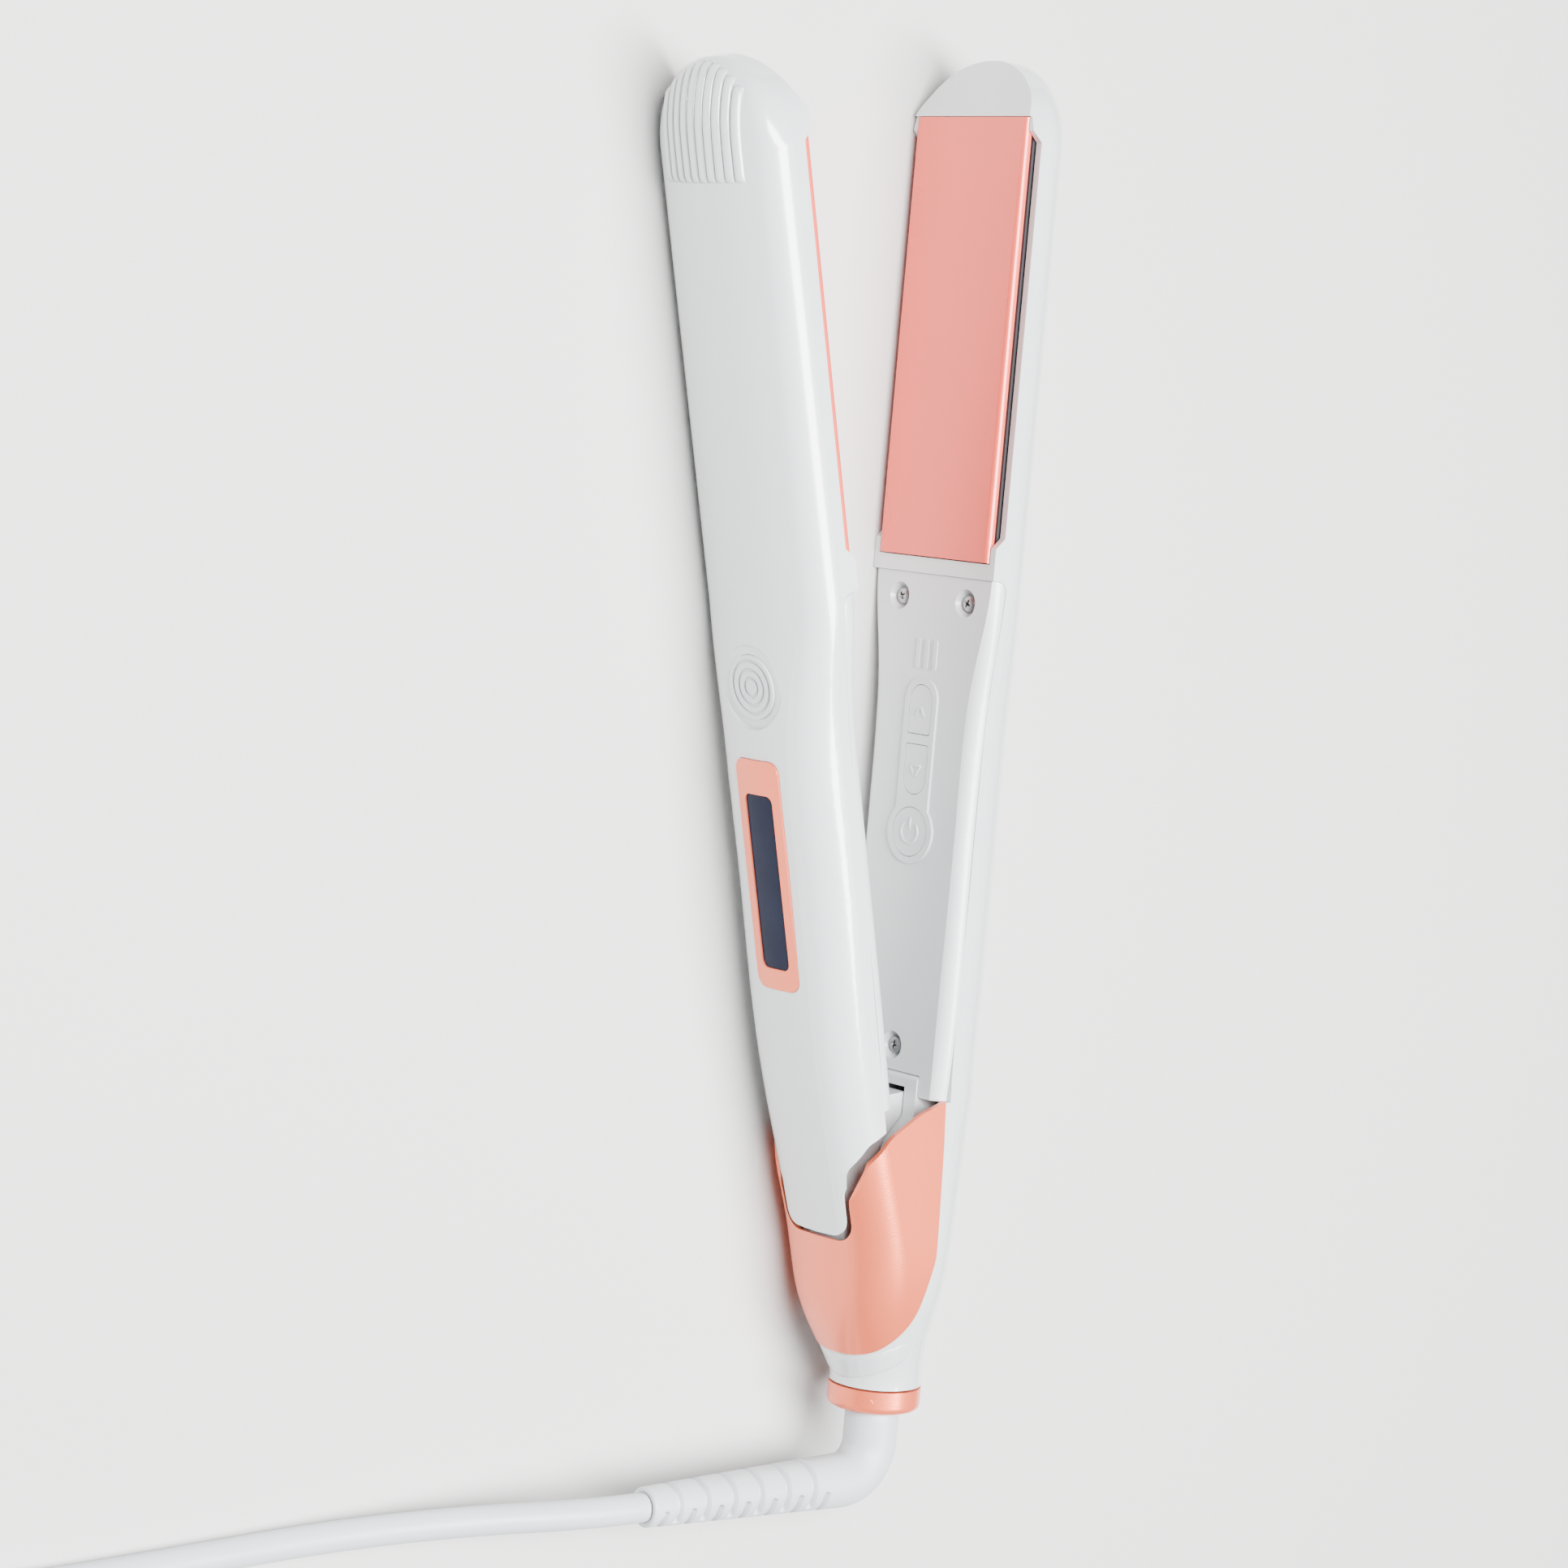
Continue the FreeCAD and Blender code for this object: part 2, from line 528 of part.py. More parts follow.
def control_shell():
    label = "control_arm_shell"
    stations = GRIP + ("grip_low",)
    body = arm_shell(label, stations)
    tail = [tail_section(body, f"{label}_{t}", *tail_station(t)) for t in TAIL]
    tail.append(tail_section(body, label + "_neck", *tail_station("tail_end", along="neck_low")))
    loft(body, label + "_tail", tail)
    hollow(body, label, stations)
    inner = [tail_section(body, f"{label}_{t}_in", *tail_station(t, "wall")) for t in TAIL]
    loft(body, label + "_tail_in", inner, cut=True)
    bore = sketch_on(body, "XZ_Plane", label + "_bore", "-neck_bore_top")
    circle(bore, "neck_x", "0", "neck_bore")
    pocket(body, bore, "neck_bore_top - neck_low + 1", flip=True)
    open_inner_side(body, label, "cover_end - 0.1")
    plate_ledge(body, label)
    side = sketch_on(body, "XY_Plane", label + "_housing_side")
    outline(side, housing_side("0"))
    pocket(body, side, "cut_width", both=True)
    screw_bosses(body, label)
    node(body, label, CONTROL)


def housing_side(gap):
    """Outline of the display side of the tail, where the hinge housing stands instead of the shell."""
    return [
        ("-cut_width", "grip_low_along + 10"),
        ("-cut_width", f"housing_low + {gap}"),
        (f"-6.3 - {gap}", f"housing_low + {gap}", "10"),
        (f"1.8 - {gap}", "-157.4", "12"),
        (f"housing_seam - {gap}", "-144", "12"),
        (f"housing_seam - 0.9 - {gap}", "-120", "30"),
        (f"3.1 - {gap}", "housing_top"),
        (f"3.1 - {gap}", "grip_low_along + 10"),
    ]


def hinge_housing():
    """The coloured housing on the display side of the tail, notched for the display arm's tongue."""
    label = "hinge_housing"
    body = new_body(label)
    outer = [tail_section(body, f"{label}_{t}", *tail_station(t, "-housing_proud")) for t in TAIL]
    loft(body, label + "_skin", outer)
    inner = [
        tail_section(body, f"{label}_{t}_in", *tail_station(t, "housing_wall - housing_proud")) for t in TAIL
    ]
    loft(body, label + "_hollow", inner, cut=True)
    side = sketch_on(body, "XY_Plane", label + "_boundary")
    outline(side, housing_side("0.1")[1:] + [
        ("cut_width", "grip_low_along + 10"), ("cut_width", "housing_low - 20"), ("-cut_width", "housing_low - 20"),
    ])
    pocket(body, side, "cut_width", both=True)
    rim = sketch_on(body, "XY_Plane", label + "_rim")
    outline(rim, [
        ("cut_width", "housing_top + 20"), ("cut_width", "housing_top"), ("3.1", "housing_top"),
        ("-3.4", "-113.3", "8"), ("-11.2", "-118", "8"), ("-15.8", "-123.5", "3"), ("-16.6", "-131.5"),
        ("-cut_width", "-131.5"),
        ("-cut_width", "housing_top + 20"),
    ])
    pocket(body, rim, "cut_width", both=True)
    notch = sketch_on(body, "YZ_Plane", label + "_notch", "-8")
    outline(notch, [
        ("housing_top", "13.6"), ("-124.6", "13.6", "3"), ("-131.5", "10.5", "8"),
        ("notch_low", "notch_half", "notch_round"), ("notch_low", "-notch_half", "notch_round"),
        ("-131.5", "-10.5", "8"), ("-124.6", "-13.6", "3"), ("housing_top", "-13.6"),
    ])
    pocket(body, notch, "cut_width")
    node(body, label, CONTROL)


def display_shell():
    label = "display_arm_shell"
    stations = GRIP + ("heel_top", "heel_one", "heel_end")
    body = arm_shell(label, stations)
    hollow(body, label, stations)
    open_inner_side(body, label, "heel_end_along - 5")
    plate_ledge(body, label)
    heel = sketch_on(body, "XY_Plane", label + "_heel")
    outline(heel, [
        ("-cut_width", "heel_end_along - 5"),
        ("cut_width / 2", "heel_end_along - 5"),
        ("cut_width / 2", "tongue_low"),
        ("tongue_inner", "tongue_low"),
        ("tongue_inner", "-122.6", "4"),
        ("9.3", "-117.8", "3"),
        ("3.5", "-115.9"),
        ("-cut_width", "-115"),
    ])
    pocket(body, heel, "cut_width", both=True)
    for side, name in (("1", "high"), ("-1", "low")):
        flank = sketch_on(body, "YZ_Plane", f"{label}_flank_{name}")
        outline(flank, [
            ("-125.2", f"{side} * cut_width / 2"),
            ("-125.2", f"{side} * (tongue_half + 2.4)", "2"),
            ("-127.8", f"{side} * tongue_half", "3"),
            ("tongue_low", f"{side} * tongue_half", "tongue_round"),
            ("tongue_low", f"{side} * 2"),
            ("tongue_low - 5", f"{side} * 2"),
            ("tongue_low - 5", f"{side} * cut_width / 2"),
        ])
        pocket(body, flank, "cut_width / 2", flip=True)
    screw_bosses(body, label)
    frame = sketch_on(body, "YZ_Plane", label + "_bezel_hole", "module_front")
    rounded_window(frame, "bezel_half + trim_gap", "bezel_top + trim_gap", "bezel_low - trim_gap", "bezel_round")
    pocket(body, frame, "cut_width", flip=True)
    dish = sketch_on(body, "YZ_Plane", label + "_dish", "disc_floor")
    circle(dish, "disc_y", "0", "disc_dish")
    pocket(body, dish, "cut_width", flip=True)
    seat = sketch_on(body, "YZ_Plane", label + "_disc_hole", "disc_back")
    circle(seat, "disc_y", "0", "disc_radius + trim_gap")
    pocket(body, seat, "cut_width", flip=True)
    node(body, label, DISPLAY)


def rounded_window(sketch, half, top, low, radius):
    outline(sketch, [
        (top, half, radius), (low, half, radius), (low, f"-({half})", radius), (top, f"-({half})", radius),
    ])


# ---------------------------------------------------------------- inner covers

# Inner cover cross sections: y, half width of the flat inner face, half width at the seam.
COVER = {
    "cover_a": ("seam_top - cover_gap", 17.05, 17.9),
    "cover_b": ("-11.5", 16.3, 17.45),
    "cover_c": ("-18.4", 15.0, 16.75),
    "cover_d": ("-24.4", 13.9, 16.1),
    "cover_e": ("-32", 13.1, 15.6),
    "cover_f": ("-42", 12.9, 15.3),
    "cover_g": ("-72", 12.9, 15.25),
    "cover_h": ("-106", 12.7, 14.7),
}


def cover_section(body, name, along, face_half, seam_half):
    """Flat inner face with flanks that bulge out to the seam."""
    sketch = sketch_on(body, "XZ_Plane", name, f"-({along})")
    face, back, bend = number("cover_face"), number("seam - cover_gap"), number("cover_flank")
    high_face, high_back = Vector(face, face_half, 0), Vector(back, seam_half, 0)
    low_face, low_back = Vector(face, -face_half, 0), Vector(back, -seam_half, 0)
    chord = high_back - high_face
    outward = Vector(-chord.y, chord.x, 0).normalize()
    rise = bend - math.sqrt(bend ** 2 - (chord.Length / 2) ** 2)
    bulge = (high_face + high_back) / 2 + outward * rise
    sketch.addGeometry(Part.LineSegment(low_back, high_back), False)
    sketch.addGeometry(Part.Arc(high_back, bulge, high_face), False)
    sketch.addGeometry(Part.LineSegment(high_face, low_face), False)
    sketch.addGeometry(Part.Arc(low_face, Vector(bulge.x, -bulge.y, 0), low_back), False)
    for first, first_end, second, second_end in ((0, 2, 1, 1), (1, 2, 2, 1), (2, 2, 3, 1), (3, 2, 0, 1)):
        hold(sketch, "Coincident", first, first_end, second, second_end)
    hold(sketch, "Symmetric", 0, 1, 0, 2, -1)
    hold(sketch, "Symmetric", 2, 1, 2, 2, -1)
    hold(sketch, "DistanceX", -1, 1, 0, 2, size="seam - cover_gap")
    hold(sketch, "DistanceX", -1, 1, 2, 1, size="cover_face")
    hold(sketch, "DistanceY", 0, 1, 0, 2, size=f"2 * {seam_half}")
    hold(sketch, "DistanceY", 2, 2, 2, 1, size=f"2 * {face_half}")
    hold(sketch, "Radius", 1, size="cover_flank")
    hold(sketch, "Equal", 1, 3)
    return sketch


def inner_cover(label, group, side):
    end = "cover_end" if side == "control" else "display_cover_end"
    body = new_body(label)
    sections = [cover_section(body, f"{label}_{k}", *v) for k, v in COVER.items()]
    sections.append(cover_section(body, label + "_end", end, 12.6, 14.35))
    loft(body, label + "_skin", sections)
    seam, top = number("seam - cover_gap"), number("seam_top - cover_gap")
    fillet(body, "seam_turn", lambda e: all(abs(v.X - seam) + abs(v.Y - top) < 1e-3 for v in e.Vertexes))
    back = sketch_on(body, "YZ_Plane", label + "_back", "seam")
    outline(back, [
        ("hollow_top", "hollow_half"), ("hollow_low", "hollow_half"),
        ("hollow_low", "-hollow_half"), ("hollow_top", "-hollow_half"),
    ])
    pocket(body, back, "hollow_deep")
    if side == "control":
        rim = sketch_on(body, "YZ_Plane", label + "_rim", "cover_face + 0.5")
        outline(rim, [
            ("rim_top", "rim_half", "rim_round"), ("power_y", "rim_half"),
            ("power_y", "-rim_half"), ("rim_top", "-rim_half", "rim_round"),
        ])
        pad(body, rim, "rim_high + 0.5", flip=True)
        ring = sketch_on(body, "YZ_Plane", label + "_power_rim", "cover_face + 0.5")
        circle(ring, "power_y", "0", "power_rim")
        pad(body, ring, "rim_high + 0.5", flip=True)
        for i in (-1, 0, 1):
            left, right = f"{i} * bar_pitch - bar_wide / 2", f"{i} * bar_pitch + bar_wide / 2"
            bar = sketch_on(body, "YZ_Plane", f"{label}_bar_{i + 1}", "cover_face + 0.5")
            outline(bar, [
                ("bar_top", left, "bar_wide / 2.1"), ("bar_top", right, "bar_wide / 2.1"),
                ("bar_low", right, "bar_wide / 2.1"), ("bar_low", left, "bar_wide / 2.1"),
            ])
            pad(body, bar, "bar_high + 0.5", flip=True)
        for button in BUTTONS:
            hole = sketch_on(body, "YZ_Plane", f"{label}_{button}_hole", "-2")
            button_outline(hole, button, "button_gap")
            pocket(body, hole, "cut_width / 4", flip=True)
        notch = sketch_on(body, "YZ_Plane", label + "_bracket_notch", "-2")
        outline(notch, [
            ("bracket_top + bracket_gap", "bracket_half + bracket_gap"),
            ("bracket_top + bracket_gap", "-(bracket_half + bracket_gap)"),
            ("cover_end - 5", "-(bracket_half + bracket_gap)"), ("cover_end - 5", "bracket_half + bracket_gap"),
        ])
        pocket(body, notch, "cut_width / 4", flip=True)
    for place, (along, across, reach) in SCREWS.items():
        well = sketch_on(body, "YZ_Plane", f"{label}_well_{place}", "cover_face")
        circle(well, along, across, "screw_recess")
        slope = "-atan((screw_recess - screw_recess_low) / screw_recess_deep)"
        pocket(body, well, "screw_recess_deep", flip=True, taper=slope)
        hole = sketch_on(body, "YZ_Plane", f"{label}_hole_{place}", "-2")
        circle(hole, along, across, "pilot_radius")
        pocket(body, hole, "cut_width / 4", flip=True)
    node(body, label, group)


def cover_screws(label, group):
    screws = []
    for place, (along, across, reach) in SCREWS.items():
        head_x = "cover_face + screw_recess_deep - screw_head_thick"
        head = rod(f"{label}_{place}_head", "x", (head_x, along, across), "screw_head", "screw_head_thick")
        shank = rod(f"{label}_{place}_shank", "x", (head_x, along, across), "screw_shank", "screw_length")
        screws.append(fuse(f"{label}_{place}", [head, shank]))
    node(bundle(label, screws), label, group)


# ---------------------------------------------------------------- buttons

BUTTONS = ("up_button", "down_button", "power_button")


def button_outline(sketch, button, grow="0"):
    half, soft = f"button_half + {grow}", f"button_round + {grow}"
    if button == "power_button":
        circle(sketch, "power_y", "0", f"power_radius + {grow}")
        return
    top, low, soft_top = ("up_top", "up_low", True) if button == "up_button" else ("down_top", "down_low", False)
    round_end, sharp = (soft,), ("0.6",)
    outline(sketch, [
        (f"{top} + {grow}", half) + (round_end if soft_top else sharp),
        (f"{low} - {grow}", half) + (sharp if soft_top else round_end),
        (f"{low} - {grow}", f"-({half})") + (sharp if soft_top else round_end),
        (f"{top} + {grow}", f"-({half})") + (round_end if soft_top else sharp),
    ])


def buttons():
    for button in BUTTONS:
        body = new_body(button)
        face = sketch_on(body, "YZ_Plane", button + "_face", "cover_face - button_proud")
        button_outline(face, button)
        pad(body, face, "button_back - cover_face + button_proud")
        node(body, button, CONTROL)
    front = "button_back + button_travel + 0.1"
    middles = ("(up_top + up_low) / 2", "(down_top + down_low) / 2", "power_y")
    switches = [
        block(f"switch_{i}", (front, f"{front} + switch_thick"), (f"{m} - switch_half", f"{m} + switch_half"),
              "switch_half")
        for i, m in enumerate(middles)
    ]
    node(bundle("tact_switches", switches), "tact_switches", CONTROL)
    board = block("board", (f"{front} + switch_thick", f"{front} + switch_thick + board_thick"),
                  ("board_low", "board_top"), "board_half")
    node(bundle("button_board", [board]), "button_board", CONTROL)


# ---------------------------------------------------------------- plates

def plate_group(arm, group):
    label = f"{arm}_plate"
    body = new_body(label)
    face = sketch_on(body, "XZ_Plane", label + "_section")
    outline(face, [
        ("plate_gap", "plate_half", "plate_edge"), ("plate_gap", "-plate_half", "plate_edge"),
        ("plate_cap", "-plate_half"), ("plate_cap", "-plate_body_half"),
        ("plate_back", "-plate_body_half"), ("plate_back", "plate_body_half"),
        ("plate_cap", "plate_body_half"), ("plate_cap", "plate_half"),
    ])
    pad(body, face, "plate_length", flip=True)
    node(body, label, group)
    heater = block(label + "_heater", ("plate_back", "heater_back"), ("heater_start", "heater_end"), "heater_half")
    node(bundle(f"{arm}_heater", [heater]), f"{arm}_heater", group)
    outer = block(label + "_clamp_outer", ("plate_back", "clamp_back"), ("clamp_start", "clamp_end"), "clamp_half")
    room = block(label + "_clamp_room", ("plate_back - 1", "heater_back"), ("clamp_start - 1", "clamp_end + 1"),
                 "heater_half")
    node(cut(f"{arm}_heater_clamp", outer, room), f"{arm}_heater_clamp", group)
    frame = block(label + "_carrier_frame", ("carrier_front", "carrier_back"), ("carrier_start", "carrier_end"),
                  "carrier_half")
    hole = block(label + "_carrier_hole", ("carrier_front - 1", "carrier_back + 1"),
                 ("carrier_hole_start", "carrier_hole_end"), "carrier_hole_half")
    seats, cushions = [], []
    for i, (along, across) in enumerate(
        (y, z) for y in ("cushion_low", "cushion_high") for z in ("cushion_across", "-cushion_across")
    ):
        name = f"{label}_cushion_{i}"
        length = "cushion_seat - plate_back"
        seats.append(rod(name + "_seat", "x", ("plate_back", along, across), "cushion_radius + 0.15",
                         f"{length} + plate_travel + 0.1"))
        body_rod = rod(name + "_rod", "x", ("plate_back", along, across), "cushion_radius", length)
        bore = rod(name + "_bore", "x", ("plate_back - 1", along, across), "cushion_bore", f"{length} + 2")
        cushions.append(cut(name, body_rod, bore))
    along = ("carrier_start", "carrier_end")
    skirt_outer = block(label + "_skirt_outer", ("skirt_front", "skirt_back"), along, "skirt_half")
    skirt_room = block(label + "_skirt_room", ("skirt_front - 1", "skirt_back + 1"),
                       ("carrier_start - 1", "carrier_end + 1"), "skirt_inner")
    skirt = cut(label + "_skirt", skirt_outer, skirt_room)
    holder = cut(label + "_carrier_cut", frame, fuse(label + "_carrier_tools", [hole] + seats))
    node(fuse(label + "_carrier_both", [holder, skirt]), f"{arm}_plate_carrier", group)
    node(bundle(f"{arm}_plate_cushions", cushions), f"{arm}_plate_cushions", group)


# ---------------------------------------------------------------- hinge

def hinge_bracket():
    """The yoke in the control arm: a flange and two cheeks that carry the pin."""
    label = "hinge_bracket"
    body = new_body(label)
    side = sketch_on(body, "XY_Plane", label + "_side")
    outline(side, [
        ("bracket_face", "bracket_top", "1.2"), ("bracket_face", "-115.6", "2"), ("-3.6", "-120.6", "2"),
        ("-10.2", "-137", "6"), ("-12.2", "bracket_low", "6.3"), ("0.4", "bracket_low", "6"),
        ("8.6", "bracket_low + 6", "3"), ("11", "-140", "8"), ("bracket_back", "bracket_top"),
    ])
    pad(body, side, "2 * bracket_half", both=True)
    slot = sketch_on(body, "XY_Plane", label + "_slot")
    outline(slot, [
        ("-cut_width", "slot_top"), ("slot_back", "slot_top", "1"), ("slot_back", "-130", "8"),
        ("slot_back - 4", "bracket_low - 5"), ("-cut_width", "bracket_low - 5"),
    ])
    pocket(body, slot, "2 * slot_half", both=True)
    bore = sketch_on(body, "XY_Plane", label + "_bore")
    circle(bore, "hinge_x", "hinge_y", "pin_bore")
    pocket(body, bore, "cut_width", both=True)
    node(body, label, CONTROL)


def hinge_knuckle():
    """The display arm's web and boss, with x outward from the closed face, so the hinge is at minus hinge_x."""
    label = "hinge_knuckle"
    body = new_body(label)
    base = sketch_on(body, "XY_Plane", label + "_base")
    outline(base, [
        ("knuckle_front", "-105.2"), ("knuckle_front", "-112.2"), ("12.4", "-112.2"), ("12.8", "-105.2"),
    ])
    pad(body, base, "2 * knuckle_base_half", both=True)
    web = sketch_on(body, "XY_Plane", label + "_web")
    outline(web, [
        ("12.4", "-107"), ("12.4", "-121", "4"), ("-hinge_x + knuckle_round", "hinge_y + 2", "4"),
        ("-hinge_x + knuckle_round", "hinge_y - knuckle_round", "knuckle_round - 0.2"),
        ("-hinge_x - knuckle_round", "hinge_y - knuckle_round", "knuckle_round - 0.2"),
        ("-hinge_x - knuckle_round", "hinge_y + 1", "2"), ("-6.3", "-130.4", "3"), ("-10.4", "-113.6", "0.8"),
        ("1.2", "-112.15"), ("knuckle_front", "-112.05"), ("knuckle_front", "-107"),
    ])
    pad(body, web, "2 * knuckle_half", both=True)
    room = sketch_on(body, "XY_Plane", label + "_spring_room")
    circle(room, "-hinge_x", "hinge_y", "spring_room")
    pocket(body, room, "2 * spring_slot_half", both=True)
    bore = sketch_on(body, "XY_Plane", label + "_bore")
    circle(bore, "-hinge_x", "hinge_y", "pin_bore")
    pocket(body, bore, "cut_width", both=True)
    node(body, label, DISPLAY)


def hinge_hardware():
    shaft = rod("pin_shaft", "z", ("hinge_x", "hinge_y", "-pin_head_at"), "pin_radius", "pin_head_at + pin_reach")
    head = rod("pin_head_disc", "z", ("hinge_x", "hinge_y", "-pin_head_at - pin_head_thick"), "pin_head",
               "pin_head_thick")
    node(fuse("hinge_pin", [shaft, head]), "hinge_pin", CONTROL)
    washer = rod("clip_disc", "z", ("hinge_x", "hinge_y", "pin_head_at"), "clip_radius", "clip_thick")
    hole = rod("clip_hole", "z", ("hinge_x", "hinge_y", "pin_head_at - 1"), "pin_radius", "clip_thick + 2")
    node(cut("hinge_clip", washer, hole), "hinge_clip", CONTROL)


def opening_spring():
    """The torsion spring round the pin: a coil and two legs."""
    helix = doc.addObject("Part::Helix", "spring_helix")
    helix.setExpression("Radius", cell("spring_mean"))
    helix.setExpression("Pitch", cell("spring_pitch"))
    helix.setExpression("Height", cell("spring_turns * spring_pitch"))
    wire = doc.addObject("Part::Circle", "spring_wire_section")
    wire.setExpression("Radius", cell("spring_wire"))
    wire.Placement = Placement(Vector(number("spring_mean"), 0, 0), Rotation(Vector(1, 0, 0), 90))
    wire.setExpression("Placement.Base.x", cell("spring_mean"))
    coil = doc.addObject("Part::Sweep", "spring_coil")
    coil.Sections, coil.Spine = [wire], (helix, ["Edge1"])
    coil.Solid, coil.Frenet = True, True
    for axis, place in zip("xyz", ("hinge_x", "hinge_y", "-spring_turns * spring_pitch / 2")):
        coil.setExpression(f"Placement.Base.{axis}", cell(place))
    low, high = "-spring_turns * spring_pitch / 2", "spring_turns * spring_pitch / 2"
    side = "hinge_x + spring_mean"
    leg_up = rod("spring_leg_web", "y", (side, "hinge_y", high), "spring_wire", "spring_leg")
    leg_down = rod("spring_leg_yoke", "-y", (side, "hinge_y", low), "spring_wire", "spring_leg")
    node(fuse("opening_spring", [coil, leg_up, leg_down]), "opening_spring", CONTROL)


# ---------------------------------------------------------------- neck, ring and swivel

def neck_parts():
    body = new_body("lock_ring")
    disc = sketch_on(body, "XZ_Plane", "lock_ring_disc", "-ring_top")
    circle(disc, "neck_x", "0", "ring_radius")
    pad(body, disc, "ring_top - ring_low")
    upper = sketch_on(body, "XZ_Plane", "lock_ring_seat", "-ring_top")
    circle(upper, "neck_x", "0", "ring_seat")
    pocket(body, upper, "ring_top - ring_lip", flip=True)
    bore = sketch_on(body, "XZ_Plane", "lock_ring_bore", "-ring_top")
    circle(bore, "neck_x", "0", "ring_bore")
    pocket(body, bore, "cut_width", flip=True)
    low = number("ring_low")
    fillet(body, "ring_round", lambda e: e.Length > 50 and all(abs(v.Y - low) < 1e-4 for v in e.Vertexes))
    node(body, "lock_ring", CONTROL)
    wide = rod("bush_wide", "-y", ("neck_x", "bush_top", "0"), "bush_outer", "bush_top - bush_step")
    slim = rod("bush_slim", "-y", ("neck_x", "bush_step", "0"), "ring_seat - 0.1", "bush_step - bush_low")
    hole = rod("bush_hole", "-y", ("neck_x", "bush_top + 1", "0"), "bush_bore", "bush_top - bush_low + 2")
    node(cut("swivel_bush", fuse("bush_tube", [wide, slim]), hole), "swivel_bush", CONTROL)


def swivel_stem():
    """The flanged stem on the cord that turns in the neck's bush."""
    flange = rod("stem_flange_disc", "-y", ("neck_x", "stem_top", "0"), "stem_flange", "stem_flange_thick")
    start = "stem_top - stem_flange_thick"
    shaft = rod("stem_shaft", "-y", ("neck_x", start, "0"), "stem_radius", f"{start} - stem_low")
    node(bundle("swivel_stem", [flange, shaft]), "swivel_stem", CONTROL)


def cord_guard():
    """Cord guard moulded over the stem: collar, elbow and a tapered boot."""
    collar = rod("guard_collar", "-y", ("neck_x", "guard_top", "0"), "guard_radius", "guard_top - guard_elbow")
    elbow = primitive(
        "Torus", "guard_bend_ring", ("neck_x - guard_bend", "guard_elbow", "0"), Rotation(Vector(0, 0, 1), 270),
        Radius1="guard_bend", Radius2="guard_radius",
    )
    elbow.Angle3 = 90
    boot = primitive(
        "Cone", "guard_boot", ("neck_x - guard_bend", "guard_elbow - guard_bend", "0"), ALONG["-x"],
        Radius1="guard_radius", Radius2="guard_end_radius", Height="neck_x - guard_bend - guard_end",
    )
    seat = rod("guard_seat", "-y", ("neck_x", "guard_top + 1", "0"), "stem_radius", "guard_top + 1 - stem_low")
    bore = rod("guard_bore", "-x", ("guard_end + 8", "guard_elbow - guard_bend", "0"), "cord_radius", "9")
    solid = fuse("guard_solid", [collar, elbow, boot])
    node(cut("cord_guard", solid, fuse("guard_tools", [seat, bore])), "cord_guard", CONTROL)


# ---------------------------------------------------------------- display

def common(label, base, tool):
    feature = doc.addObject("Part::Common", label)
    feature.Base, feature.Tool = base, tool
    return feature


def crowned(label, block_body, lift):
    """Trims a piece set in the display arm's back to the crown, lifted by an amount."""
    crown = rod(label + "_crown", "y", ("grip_deep - crown", "bezel_low - 10", "0"), f"crown + {lift}", "70")
    return common(label, block_body, crown)


def display_parts():
    frame = new_body("bezel_blank")
    face = sketch_on(frame, "YZ_Plane", "bezel_outline", "bezel_back")
    rounded_window(face, "bezel_half", "bezel_top", "bezel_low", "bezel_round")
    pad(frame, face, "bezel_deep")
    hole = sketch_on(frame, "YZ_Plane", "bezel_window", "bezel_back")
    rounded_window(hole, "window_half + 0.05", "window_top + 0.05", "window_low - 0.05", "window_round")
    pocket(frame, hole, "bezel_deep + 1", flip=True)
    node(crowned("display_bezel", frame, "bezel_proud"), "display_bezel", DISPLAY)
    pane = new_body("window_blank")
    face = sketch_on(pane, "YZ_Plane", "window_outline", "window_back")
    rounded_window(face, "window_half", "window_top", "window_low", "window_round")
    pad(pane, face, "bezel_deep")
    node(crowned("display_window", pane, "-window_sunk"), "display_window", DISPLAY)
    module = block("module", ("module_back", "module_front"), ("window_low - 2", "window_top + 2"), "module_half")
    node(bundle("display_module", [module]), "display_module", DISPLAY)
    board = block("display_board_block", ("module_back - board_thick", "module_back"), ("bezel_low", "bezel_top"),
                  "board_half")
    node(bundle("display_board", [board]), "display_board", DISPLAY)


def thumb_disc():
    body = new_body("thumb_disc")
    face = sketch_on(body, "YZ_Plane", "thumb_disc_face", "disc_back + 0.4")
    circle(face, "disc_y", "0", "disc_radius")
    pad(body, face, "disc_face - disc_back - 0.4")
    for i in range(3):
        groove = sketch_on(body, "YZ_Plane", f"thumb_disc_groove_{i}", "disc_face")
        inner = f"groove_first + {i} * groove_pitch - groove_wide / 2"
        circle(groove, "disc_y", "0", inner)
        circle(groove, "disc_y", "0", f"{inner} + groove_wide")
        pocket(body, groove, "groove_deep")
    node(body, "thumb_disc", DISPLAY)


def wiring(arm, sensor, lead_x, group):
    """Heater leads along the handle and the sensor on the heater's clamp."""
    leads = [
        rod(f"{arm}_lead_{i}", "-y", (lead_x, "lead_start", across), "lead_radius", "lead_start - lead_end")
        for i, across in enumerate(("lead_across", "-lead_across"))
    ]
    node(bundle(f"{arm}_heater_leads", leads), f"{arm}_heater_leads", group)
    bead = rod(f"{sensor}_bead", "y", ("sensor_x", "sensor_y", "0"), "sensor_radius", "sensor_long")
    node(bundle(sensor, [bead]), sensor, group)


# ---------------------------------------------------------------- cord

